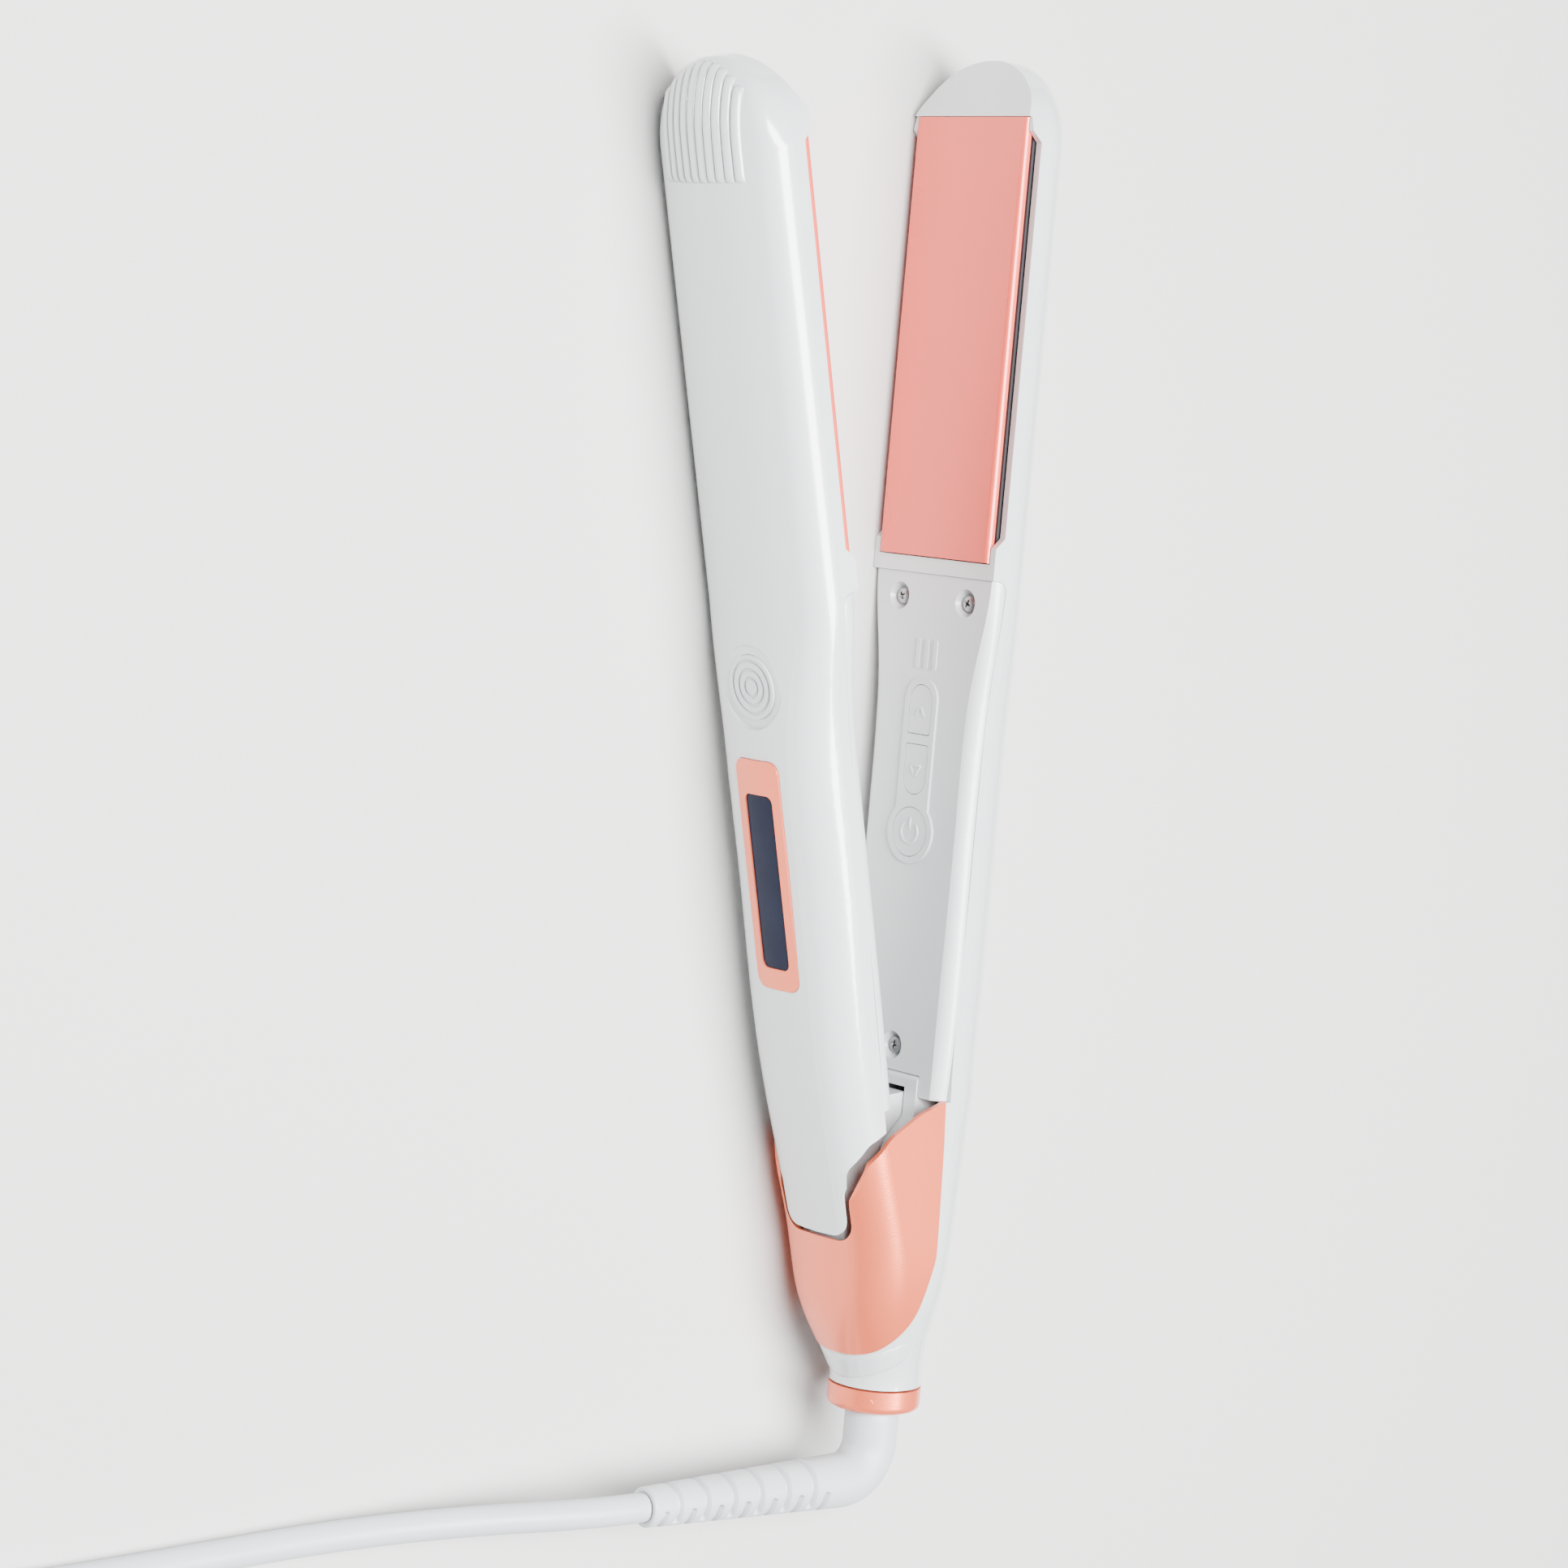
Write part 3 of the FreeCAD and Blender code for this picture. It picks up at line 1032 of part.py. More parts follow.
# The cord's route in the row's frame, from the guard to the coil, then from the coil to the plug.
ROUTE_OUT = [
    (-27.8, -155.5, 18),
    (-41, -155.6, 17.5),
    (-65, -156.2, 9.6),
    (-93, -157.4, 4.0),
    (-122, -158.6, 3.1),
    (-148, -159.5, 3),
    (-172.5, -159.8, 3),
]
ROUTE_END = [
    (-172.5, -256.6, 9.1),
    (-158, -256.8, 7.7),
    (-144, -257.3, 7),
    (-130, -258.1, 7),
]


def tube(label, points):
    """A round tube along straight runs joined by tangent arcs as large as the runs allow."""
    spots = [Vector(*p) for p in points]
    edges, start = [], spots[0]
    for before, corner, after in zip(spots, spots[1:], spots[2:]):
        back, ahead = before - corner, after - corner
        run = 0.45 * min(back.Length, ahead.Length)
        turn = math.pi - back.getAngle(ahead)
        radius = run / math.tan(turn / 2)
        print(f"{label}: bend radius {radius:.0f} mm")
        back.normalize()
        ahead.normalize()
        enter, leave = corner + back * run, corner + ahead * run
        inward = (back + ahead).normalize()
        middle = corner + inward * (radius / math.cos(turn / 2) - radius)
        edges += [Part.LineSegment(start, enter).toShape(), Part.Arc(enter, middle, leave).toShape()]
        start = leave
    edges.append(Part.LineSegment(start, spots[-1]).toShape())
    path = Part.Wire(edges)
    across = (spots[1] - spots[0]).normalize()
    section = Part.Wire(Part.Circle(spots[0], across, number("cord_radius")).toShape())
    solid = path.makePipeShell([section], True, False)
    feature = doc.addObject("Part::Feature", label)
    feature.Shape = solid
    expected = math.pi * number("cord_radius") ** 2 * path.Length
    if abs(feature.Shape.Volume / expected - 1) > 0.01:
        raise RuntimeError(f"{label} has {feature.Shape.Volume:.0f} of {expected:.0f} cubic millimetres")
    print(f"{label}: {path.Length:.0f} mm long")
    nodes.append((feature, label, Placement()))


def coil_and_plug():
    outer = rod("coil_outer_disc", "z", ("coil_x", "coil_y", "0"), "coil_outer", "coil_high")
    inner = rod("coil_hole", "z", ("coil_x", "coil_y", "-1"), "coil_inner", "coil_high + 2")
    node(cut("cord_coil", outer, inner), "cord_coil", Placement())
    relief = primitive(
        "Cone", "plug_relief_cone", ("plug_x", "plug_y", "plug_thick / 2"), ALONG["x"],
        Radius1="relief_start", Radius2="relief_end", Height="relief_long",
    )
    node(bundle("plug_relief", [relief]), "plug_relief", Placement())
    body = new_body("plug_body")
    face = sketch_on(body, "YZ_Plane", "plug_face", "plug_x + relief_long")
    low, high = "plug_y - plug_half", "plug_y + plug_half"
    outline(face, [(high, "plug_thick", "plug_round"), (low, "plug_thick", "plug_round"),
                   (low, "0", "plug_round"), (high, "0", "plug_round")])
    pad(body, face, "plug_long")
    node(body, "plug_body", Placement())
    front = "plug_x + relief_long + plug_long"
    blades = [
        primitive("Box", f"plug_blade_{i}",
                  (front, f"plug_y + {side} * blade_pitch / 2 - blade_thick / 2", "plug_thick / 2 - blade_wide / 2"),
                  Length="blade_long", Width="blade_thick", Height="blade_wide")
        for i, side in enumerate((-1, 1))
    ]
    node(bundle("plug_blades", blades), "plug_blades", Placement())


# ---------------------------------------------------------------- building

control_shell()
hinge_housing()
display_shell()
for arm, group in (("control", CONTROL), ("display", DISPLAY)):
    inner_cover(f"{arm}_inner_cover", group, arm)
    cover_screws(f"{arm}_cover_screws", group)
    plate_group(arm, group)
wiring("control", "thermal_fuse", "control_lead_x", CONTROL)
wiring("display", "thermistor", "display_lead_x", DISPLAY)
buttons()
display_parts()
thumb_disc()
hinge_bracket()
hinge_knuckle()
hinge_hardware()
opening_spring()
neck_parts()
swivel_stem()
cord_guard()
tube("power_cord", ROUTE_OUT)
tube("cord_tail", ROUTE_END)
coil_and_plug()

for piece, label, group in nodes:
    if group != Placement():
        piece.Placement = group
doc.recompute()

for thing in doc.Objects:
    if "Invalid" in thing.State or "Error" in thing.State:
        raise RuntimeError(f"{thing.Name} did not compute: {thing.State}")
os.makedirs("parts", exist_ok=True)
for piece, label, group in nodes:
    if piece.Shape.isNull() or not piece.Shape.isValid() or not piece.Shape.Solids:
        raise RuntimeError(f"{label} has no valid solid")
    piece.Shape.exportStep(f"parts/{label}.step")
print(f"{len(nodes)} sub-parts written")
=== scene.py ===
import json
import math

import bmesh
import bpy
from mathutils import Matrix, Vector
from mathutils.bvhtree import BVHTree


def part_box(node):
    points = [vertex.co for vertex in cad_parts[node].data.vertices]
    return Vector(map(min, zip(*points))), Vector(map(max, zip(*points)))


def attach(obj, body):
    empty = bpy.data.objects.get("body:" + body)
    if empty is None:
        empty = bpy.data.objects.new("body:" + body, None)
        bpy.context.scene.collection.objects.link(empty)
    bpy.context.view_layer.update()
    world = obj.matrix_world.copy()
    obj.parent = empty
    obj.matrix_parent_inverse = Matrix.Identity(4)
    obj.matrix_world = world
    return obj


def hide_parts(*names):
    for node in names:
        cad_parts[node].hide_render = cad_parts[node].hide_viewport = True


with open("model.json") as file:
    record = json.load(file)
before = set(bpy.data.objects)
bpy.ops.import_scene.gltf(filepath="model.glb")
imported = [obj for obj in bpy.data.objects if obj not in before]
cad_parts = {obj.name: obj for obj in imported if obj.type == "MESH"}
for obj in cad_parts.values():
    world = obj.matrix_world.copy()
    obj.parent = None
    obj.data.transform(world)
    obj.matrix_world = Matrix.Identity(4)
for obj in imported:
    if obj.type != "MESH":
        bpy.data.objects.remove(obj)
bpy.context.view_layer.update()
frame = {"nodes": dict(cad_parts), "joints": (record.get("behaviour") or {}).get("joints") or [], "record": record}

# The iron lies on its side: +Z up along the hinge pin, +Y towards the tips, +X from the display arm to the
# control arm. Lengths are in metres.

MM = 0.001
NODES = frame["nodes"]
JOINTS = {joint["name"]: joint for joint in frame["joints"]}
HALF_HEIGHT = 18 * MM
DATUM = Vector((27.9 * MM, 38.4 * MM, HALF_HEIGHT))
HINGE = Vector(JOINTS["arm_hinge"]["pos_m"])
OPEN_ANGLE = math.radians(JOINTS["arm_hinge"]["range_deg"][1])

# An arm's design frame, closed: x outward from the face where the plates meet, y along the arm from the plate's
# lower end to the tip, z along the hinge pin.
CONTROL_ARM = Matrix.Translation(DATUM)
DISPLAY_ARM = (
    Matrix.Translation(HINGE) @ Matrix.Rotation(OPEN_ANGLE, 4, "Z") @ Matrix.Translation(-HINGE)
    @ Matrix.Translation(DATUM) @ Matrix.Rotation(math.pi, 4, "Y")
)


def on_arm(arm, x, y, z):
    """A point of an arm's design frame, given in millimetres."""
    return arm @ Vector((x * MM, y * MM, z * MM))


# ---------------------------------------------------------------- camera, floor and light

CAMERA_AT = Vector((-0.54924, 0.06047, 0.62543))
CAMERA_LOOK = Vector((0.66351, -0.08501, -0.74332))
CAMERA_UP = Vector((-0.0091, 0.9925, -0.1217))


def add_camera():
    data = bpy.data.cameras.new("camera")
    data.sensor_width = 36
    data.lens = 93.32
    data.clip_start = 0.01
    camera = bpy.data.objects.new("camera", data)
    back = -CAMERA_LOOK.normalized()
    right = CAMERA_UP.cross(back).normalized()
    up = back.cross(right)
    camera.matrix_world = Matrix.Translation(CAMERA_AT) @ Matrix((right, up, back)).transposed().to_4x4()
    bpy.context.scene.collection.objects.link(camera)
    bpy.context.scene.camera = camera


def add_floor():
    bpy.ops.mesh.primitive_plane_add(size=6, location=(0, 0, -0.0002))
    floor = bpy.context.object
    floor.name = "floor"
    floor.data.materials.append(plain_material("floor", (0.58, 0.577, 0.567), roughness=0.9))


def add_light(name, at, towards, size, power):
    data = bpy.data.lights.new(name, "AREA")
    data.shape = "RECTANGLE"
    data.size, data.size_y = size
    data.energy = power
    light = bpy.data.objects.new(name, data)
    direction = Vector(towards) - Vector(at)
    light.location = at
    light.rotation_euler = direction.to_track_quat("-Z", "Y").to_euler()
    bpy.context.scene.collection.objects.link(light)


def add_world():
    world = bpy.data.worlds.new("world")
    world.use_nodes = True
    background = world.node_tree.nodes["Background"]
    background.inputs["Color"].default_value = (0.93, 0.94, 0.95, 1)
    background.inputs["Strength"].default_value = 0.14
    bpy.context.scene.world = world


def light_scene():
    add_world()
    add_light("overhead", (-0.1, 0.05, 1.1), (0, 0, 0), (0.34, 1.4), 90)


# ---------------------------------------------------------------- materials

def plain_material(name, colour, roughness=0.5, metallic=0.0):
    material = bpy.data.materials.new(name)
    material.use_nodes = True
    shader = material.node_tree.nodes["Principled BSDF"]
    shader.inputs["Base Color"].default_value = (*colour, 1)
    shader.inputs["Roughness"].default_value = roughness
    shader.inputs["Metallic"].default_value = metallic
    return material


def moulded(name, colour, shade, roughness, grain=900, depth=0.02, metallic=0.0, coat=0.0, spread=0.05):
    """A moulded or coated surface: a faint cloudy tone, fine grain in the bump and uneven gloss."""
    material = plain_material(name, colour, roughness, metallic)
    nodes, links = material.node_tree.nodes, material.node_tree.links
    shader = nodes["Principled BSDF"]
    shader.inputs["Coat Weight"].default_value = coat
    shader.inputs["Coat Roughness"].default_value = 0.12
    place = nodes.new("ShaderNodeTexCoord")
    cloud = nodes.new("ShaderNodeTexNoise")
    cloud.inputs["Scale"].default_value = 35
    cloud.inputs["Detail"].default_value = 3
    tone = nodes.new("ShaderNodeValToRGB")
    tone.color_ramp.elements[0].position = 0.3
    tone.color_ramp.elements[0].color = (*shade, 1)
    tone.color_ramp.elements[1].position = 0.65
    tone.color_ramp.elements[1].color = (*colour, 1)
    fine = nodes.new("ShaderNodeTexNoise")
    fine.inputs["Scale"].default_value = grain
    fine.inputs["Detail"].default_value = 2
    gloss = nodes.new("ShaderNodeMapRange")
    gloss.inputs["To Min"].default_value = max(roughness - spread, 0.02)
    gloss.inputs["To Max"].default_value = roughness + spread
    bump = nodes.new("ShaderNodeBump")
    bump.inputs["Strength"].default_value = depth
    bump.inputs["Distance"].default_value = 0.0002
    links.new(place.outputs["Object"], cloud.inputs["Vector"])
    links.new(place.outputs["Object"], fine.inputs["Vector"])
    links.new(cloud.outputs["Fac"], tone.inputs["Fac"])
    links.new(tone.outputs["Color"], shader.inputs["Base Color"])
    links.new(cloud.outputs["Fac"], gloss.inputs["Value"])
    links.new(gloss.outputs["Result"], shader.inputs["Roughness"])
    links.new(fine.outputs["Fac"], bump.inputs["Height"])
    links.new(bump.outputs["Normal"], shader.inputs["Normal"])
    return material


def metal_paint(name, colour, bright, roughness):
    """Metallic lacquer: tiny bright flakes in a satin coat."""
    material = moulded(name, colour, tuple(0.93 * c for c in colour), roughness, 2600, 0.12, 0.4, 0.15)
    nodes, links = material.node_tree.nodes, material.node_tree.links
    shader = nodes["Principled BSDF"]
    place = nodes.new("ShaderNodeTexCoord")
    flakes = nodes.new("ShaderNodeTexVoronoi")
    flakes.inputs["Scale"].default_value = 4200
    pick = nodes.new("ShaderNodeValToRGB")
    pick.color_ramp.elements[0].position = 0.0
    pick.color_ramp.elements[0].color = (*bright, 1)
    pick.color_ramp.elements[1].position = 0.22
    pick.color_ramp.elements[1].color = (*colour, 1)
    links.new(place.outputs["Object"], flakes.inputs["Vector"])
    links.new(flakes.outputs["Distance"], pick.inputs["Fac"])
    links.new(pick.outputs["Color"], shader.inputs["Base Color"])
    return material


def brushed_metal(name, colour, roughness):
    """Metal with fine parallel scratches."""
    material = plain_material(name, colour, roughness, 1.0)
    nodes, links = material.node_tree.nodes, material.node_tree.links
    shader = nodes["Principled BSDF"]
    place = nodes.new("ShaderNodeTexCoord")
    squeeze = nodes.new("ShaderNodeMapping")
    squeeze.inputs["Scale"].default_value = (1, 1, 30)
    scratch = nodes.new("ShaderNodeTexNoise")
    scratch.inputs["Scale"].default_value = 400
    gloss = nodes.new("ShaderNodeMapRange")
    gloss.inputs["To Min"].default_value = roughness - 0.08
    gloss.inputs["To Max"].default_value = roughness + 0.1
    bump = nodes.new("ShaderNodeBump")
    bump.inputs["Strength"].default_value = 0.1
    bump.inputs["Distance"].default_value = 0.0001
    links.new(place.outputs["Object"], squeeze.inputs["Vector"])
    links.new(squeeze.outputs["Vector"], scratch.inputs["Vector"])
    links.new(scratch.outputs["Fac"], gloss.inputs["Value"])
    links.new(gloss.outputs["Result"], shader.inputs["Roughness"])
    links.new(scratch.outputs["Fac"], bump.inputs["Height"])
    links.new(bump.outputs["Normal"], shader.inputs["Normal"])
    return material


WHITE = (0.575, 0.60, 0.61)
ROSE = (0.80, 0.155, 0.07)


def make_materials():
    return {
        "white_shell": moulded("white_shell", WHITE, (0.56, 0.585, 0.595), 0.28, 1500, 0.03, coat=1.0),
        "white_cover": moulded("white_cover", WHITE, (0.555, 0.58, 0.59), 0.36, 1500, 0.06, coat=0.4),
        "rose_paint": metal_paint("rose_paint", ROSE, (0.88, 0.30, 0.17), 0.32),
        "rose_plate": moulded("rose_plate", (0.78, 0.105, 0.068), (0.75, 0.10, 0.064), 0.28, 1800, 0.03, 0.15, 0.2),
        "screw_steel": brushed_metal("screw_steel", (0.33, 0.33, 0.34), 0.32),
        "aluminium": brushed_metal("aluminium", (0.72, 0.72, 0.73), 0.35),
        "heater": moulded("heater", (0.80, 0.79, 0.75), (0.74, 0.73, 0.69), 0.7),
        "carrier_plastic": moulded("carrier_plastic", (0.035, 0.035, 0.04), (0.03, 0.03, 0.033), 0.6, 1200, 0.15),
        "silicone": moulded("silicone", (0.6, 0.57, 0.53), (0.55, 0.52, 0.48), 0.75, 700, 0.1),
        "board_green": moulded("board_green", (0.03, 0.16, 0.07), (0.025, 0.14, 0.06), 0.35),
        "window_dark": moulded("window_dark", (0.016, 0.021, 0.042), (0.01, 0.012, 0.026), 0.12, spread=0.02),
        "display_glass": moulded("display_glass", (0.02, 0.022, 0.03), (0.015, 0.017, 0.025), 0.1, coat=0.5),
        "cord_white": moulded("cord_white", (0.50, 0.535, 0.56), (0.48, 0.51, 0.535), 0.42, 1100, 0.08),
        "plug_white": moulded("plug_white", (0.60, 0.62, 0.63), (0.57, 0.59, 0.60), 0.5, 800, 0.12),
        "brass_blade": brushed_metal("brass_blade", (0.62, 0.48, 0.24), 0.3),
    }


def soften_window(materials):
    """The smoked panes mirror less than bare plastic does."""
    for name in ("window_dark", "display_glass"):
        materials[name].node_tree.nodes["Principled BSDF"].inputs["Specular IOR Level"].default_value = 0.06


def dress_cad_nodes(materials):
    """Gives every CAD node its slot's material."""
    slots = {part["node"]: part["material_slot"] for part in frame["record"]["subparts"]}
    for name, piece in NODES.items():
        piece.data.materials.clear()
        piece.data.materials.append(materials[slots[name]])


# ---------------------------------------------------------------- mesh helpers

def new_piece(name, mesh, material, body):
    piece = bpy.data.objects.new(name, mesh)
    bpy.context.scene.collection.objects.link(piece)
    piece.data.materials.append(material)
    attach(piece, body)
    return piece


def mesh_from(name, verts, faces):
    mesh = bpy.data.meshes.new(name)
    mesh.from_pydata([tuple(v) for v in verts], [], faces)
    mesh.validate()
    mesh.polygons.foreach_set("use_smooth", [True] * len(mesh.polygons))
    return mesh


# ---------------------------------------------------------------- cord

CORD_RADIUS = 3 * MM
CORD_OUT = [
    (-0.0278, -0.1555, 0.018),
    (-0.041, -0.1556, 0.0175),
    (-0.065, -0.1562, 0.0096),
    (-0.093, -0.1574, 0.004),
    (-0.122, -0.1586, 0.0031),
    (-0.148, -0.1595, 0.003),
    (-0.1725, -0.1598, 0.003),
]
CORD_END = [
    (-0.1725, -0.2566, 0.0091),
    (-0.158, -0.2568, 0.0077),
    (-0.144, -0.2573, 0.007),
    (-0.13, -0.2581, 0.007),
]
COIL_PITCH = 6.1 * MM
COIL_STEPS = 16


def coil_points():
    """Two flat layers of turns: in along the floor from the outside, up, and out again on top."""
    low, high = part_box("cord_coil")
    middle = (low + high) / 2
    outer = (high.x - low.x) / 2 - CORD_RADIUS
    turns_in = 4
    inner = outer - turns_in * COIL_PITCH
    floor_z, top_z = CORD_RADIUS + 0.05 * MM, high.z - CORD_RADIUS - 0.05 * MM
    points = []
    for step in range(int((2 * turns_in + 0.5) * COIL_STEPS) + 1):
        turn = step / COIL_STEPS
        angle = math.pi / 2 + 2 * math.pi * turn
        climb = min(max((turn - turns_in) / 0.5, 0), 1)
        if turn <= turns_in:
            radius = outer - COIL_PITCH * turn
        elif climb < 1:
            radius = inner - 0.6 * MM * math.sin(math.pi * climb)
        else:
            radius = inner + COIL_PITCH * (turn - turns_in - 0.5)
        radius /= (1 + math.cos(math.pi / COIL_STEPS)) / 2
        height = floor_z + (top_z - floor_z) * climb
        points.append((middle.x + radius * math.cos(angle), middle.y + radius * math.sin(angle), height))
    return points


def add_cord(materials):
    route = CORD_OUT + coil_points() + CORD_END
    curve = bpy.data.curves.new("cord", "CURVE")
    curve.dimensions = "3D"
    curve.resolution_u = 8
    curve.bevel_depth = CORD_RADIUS
    curve.bevel_resolution = 6
    spline = curve.splines.new("NURBS")
    spline.points.add(len(route) - 1)
    for point, place in zip(spline.points, route):
        point.co = (*place, 1)
    spline.order_u = 3
    spline.use_endpoint_u = True
    cord = new_piece("mains_cord", curve, materials["cord_white"], "cord")
    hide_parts("power_cord", "cord_coil", "cord_tail")
    return cord


# ---------------------------------------------------------------- strokes and ribs on a surface

def surface_of(node):
    """A tree for finding points on a CAD node's surface at rest."""
    mesh = NODES[node].data
    return BVHTree.FromPolygons([v.co.copy() for v in mesh.vertices], [tuple(p.vertices) for p in mesh.polygons])


def hit(tree, start, direction):
    spot, normal, _, _ = tree.ray_cast(start, direction)
    if spot is None:
        raise RuntimeError(f"no surface found from {start}")
    return spot, (normal if normal.dot(direction) < 0 else -normal)


def stroke_mesh(paths, width, height, sink=0.15 * MM):
    """Rounded raised lines, lower at both ends. Each path is a list of (point, normal)."""
    arch = [(math.cos(math.pi * k / 8), math.sin(math.pi * k / 8)) for k in range(9)]
    size = len(arch) + 2
    verts, faces = [], []
    for path in paths:
        first, count = len(verts), len(path)
        for i, (point, normal) in enumerate(path):
            tangent = (path[min(i + 1, count - 1)][0] - path[max(i - 1, 0)][0]).normalized()
            side = tangent.cross(normal).normalized()
            edge = min(1, 0.35 + 0.3 * min(i, count - 1 - i))
            ring = [side * (width / 2 * a) + normal * (height * edge * b) for a, b in arch]
            ring += [side * (-width / 2) - normal * sink, side * (width / 2) - normal * sink]
            verts += [point + offset for offset in ring]
        for i in range(count - 1):
            low, high = first + i * size, first + (i + 1) * size
            faces += [(low + k, low + (k + 1) % size, high + (k + 1) % size, high + k) for k in range(size)]
        last = first + (count - 1) * size
        faces.append(tuple(first + k for k in reversed(range(size))))
        faces.append(tuple(last + k for k in range(size)))
    return verts, faces


def tidy_normals(mesh):
    work = bmesh.new()
    work.from_mesh(mesh)
    bmesh.ops.recalc_face_normals(work, faces=work.faces)
    work.to_mesh(mesh)
    work.free()
    return mesh


RIB_COUNT, RIB_PITCH, RIB_LOW, RIB_TOP = 10, 2.27, 78.4, 101.2
RIB_WIDTH, RIB_HEIGHT, RIB_STEPS = 2.2 * MM, 0.75 * MM, 36
OUTSIDE_X = 40  # clear of an arm's outer face, in millimetres


def add_ribs(materials):
    """Raised finger ribs over the display arm's tip, the outer ones shorter to follow its outline."""
    tree = surface_of("display_arm_shell")
    inward = (DISPLAY_ARM.to_3x3() @ Vector((-1, 0, 0))).normalized()
    paths = []
    for i in range(RIB_COUNT):
        across = (i - (RIB_COUNT - 1) / 2) * RIB_PITCH
        top = RIB_TOP - 0.045 * across ** 2
        path = []
        for k in range(RIB_STEPS + 1):
            along = RIB_LOW + (top - RIB_LOW) * k / RIB_STEPS
            path.append(hit(tree, on_arm(DISPLAY_ARM, OUTSIDE_X, along, across), inward))
        paths.append(path)
    mesh = tidy_normals(mesh_from("finger_ribs", *stroke_mesh(paths, RIB_WIDTH, RIB_HEIGHT, 0.3 * MM)))
    new_piece("finger_ribs", mesh, materials["white_shell"], "display_arm")


def face_path(points, face_x):
    """A path on a button's face: (y, z) in millimetres of the control arm's frame."""
    outward = Vector((-1, 0, 0))
    return [(Vector((face_x, DATUM.y + y * MM, DATUM.z + z * MM)), outward) for y, z in points]


def between(start, end, steps=8):
    return [(start[0] + (end[0] - start[0]) * k / steps, start[1] + (end[1] - start[1]) * k / steps)
            for k in range(steps + 1)]


def add_button_marks(materials):
    """The plain up, down and power signs, one on each button."""
    arc = [math.radians(40 + 7 * k) for k in range(41)]
    marks = {
        "up_button": [between((-33.1, -1.4), (-30.9, 0)), between((-30.9, 0), (-33.1, 1.4))],
        "down_button": [between((-43.2, -1.6), (-43.2, 1.6)), between((-43.2, 1.6), (-45.6, 0)),
                        between((-45.6, 0), (-43.2, -1.6))],
        "power_button": [[(-57 + 2.4 * math.cos(a), 2.4 * math.sin(a)) for a in arc],
                         between((-53.9, 0), (-56.7, 0))],
    }
    for button, lines in marks.items():
        face_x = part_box(button)[0].x
        paths = [face_path(line, face_x) for line in lines]
        mesh = tidy_normals(mesh_from(button + "_mark", *stroke_mesh(paths, 0.6 * MM, 0.3 * MM)))
        new_piece(button + "_mark", mesh, materials["white_cover"], button)


# ---------------------------------------------------------------- neck and ring

NECK_X = 5.3
NECK = Vector((DATUM.x + NECK_X * MM, 0, DATUM.z))
NECK_STEP_LOW, NECK_STEP_RISE, NECK_STEP_TURNS = -171.6, 6.0, 72
NECK_STEP_ROWS = ((0, -0.1), (0.12, 0.16), (0.4, 0.3), (1.2, 0.34), (2.4, 0.34), (3.6, 0.3), (4.6, 0.2), (5.2, -0.1))


def neck_ray(tree, angle, along):
    """The neck's surface at an angle from +z towards +x, at a height along the arm in millimetres."""
    outward = Vector((math.sin(angle), 0, math.cos(angle)))
    centre = Vector((NECK.x, DATUM.y + along * MM, NECK.z))
    return hit(tree, centre + outward * 30 * MM, -outward)


def add_neck_step(materials):
    """The slanted step round the display side of the neck, below the housing and parallel to its edge."""
    tree = surface_of("control_arm_shell")
    first, last = math.radians(-184), math.radians(4)
    verts, faces = [], []
    for i in range(NECK_STEP_TURNS + 1):
        angle = first + (last - first) * i / NECK_STEP_TURNS
        low = NECK_STEP_LOW + NECK_STEP_RISE * (1 - math.cos(angle + math.pi / 2))
        side = min(1, 4 * min(i, NECK_STEP_TURNS - i) / NECK_STEP_TURNS)
        for rise, proud in NECK_STEP_ROWS:
            spot, normal = neck_ray(tree, angle, low + rise)
            verts.append(spot + normal * (proud * side - (1 - side) * 0.1) * MM)
    size = len(NECK_STEP_ROWS)
    for i in range(NECK_STEP_TURNS):
        for k in range(size - 1):
            faces.append((i * size + k, i * size + k + 1, (i + 1) * size + k + 1, (i + 1) * size + k))
    mesh = tidy_normals(mesh_from("neck_step", verts, faces))
    piece = new_piece("neck_step", mesh, materials["white_shell"], "control_arm")
    thick = piece.modifiers.new("thick", "SOLIDIFY")
    thick.thickness = 0.4 * MM
    thick.offset = -1
    apply_modifiers(piece)


def add_neck_seam(materials):
    """The mould's parting line along the neck, on both flat sides."""
    tree = surface_of("control_arm_shell")
    paths = [
        [neck_ray(tree, math.radians(angle), -173.1 + 12.2 * k / 24) for k in range(25)] for angle in (5, 175)
    ]
    mesh = tidy_normals(mesh_from("neck_seam", *stroke_mesh(paths, 0.35 * MM, 0.1 * MM)))
    new_piece("neck_seam", mesh, materials["white_shell"], "control_arm")


def add_ring_mark(materials):
    """A small plain arrow on the ring: corners as (degrees round the neck, millimetres along the arm)."""
    tree = surface_of("lock_ring")
    corners = [(-49.5, -176.2), (-46.5, -175.2), (-43.5, -176.2)]
    paths = []
    for (a0, y0), (a1, y1) in zip(corners, corners[1:]):
        paths.append([neck_ray(tree, math.radians(a), y) for a, y in between((a0, y0), (a1, y1), 6)])
    mesh = tidy_normals(mesh_from("ring_mark", *stroke_mesh(paths, 0.28 * MM, 0.1 * MM)))
    new_piece("ring_mark", mesh, materials["rose_paint"], "lock_ring")


def apply_modifiers(piece):
    """Replaces the piece's mesh with what its modifiers make of it."""
    bpy.context.view_layer.update()
    shown = piece.evaluated_get(bpy.context.evaluated_depsgraph_get())
    mesh = bpy.data.meshes.new_from_object(shown)
    piece.modifiers.clear()
    piece.data = mesh
    piece.data.polygons.foreach_set("use_smooth", [True] * len(piece.data.polygons))


# ---------------------------------------------------------------- screws

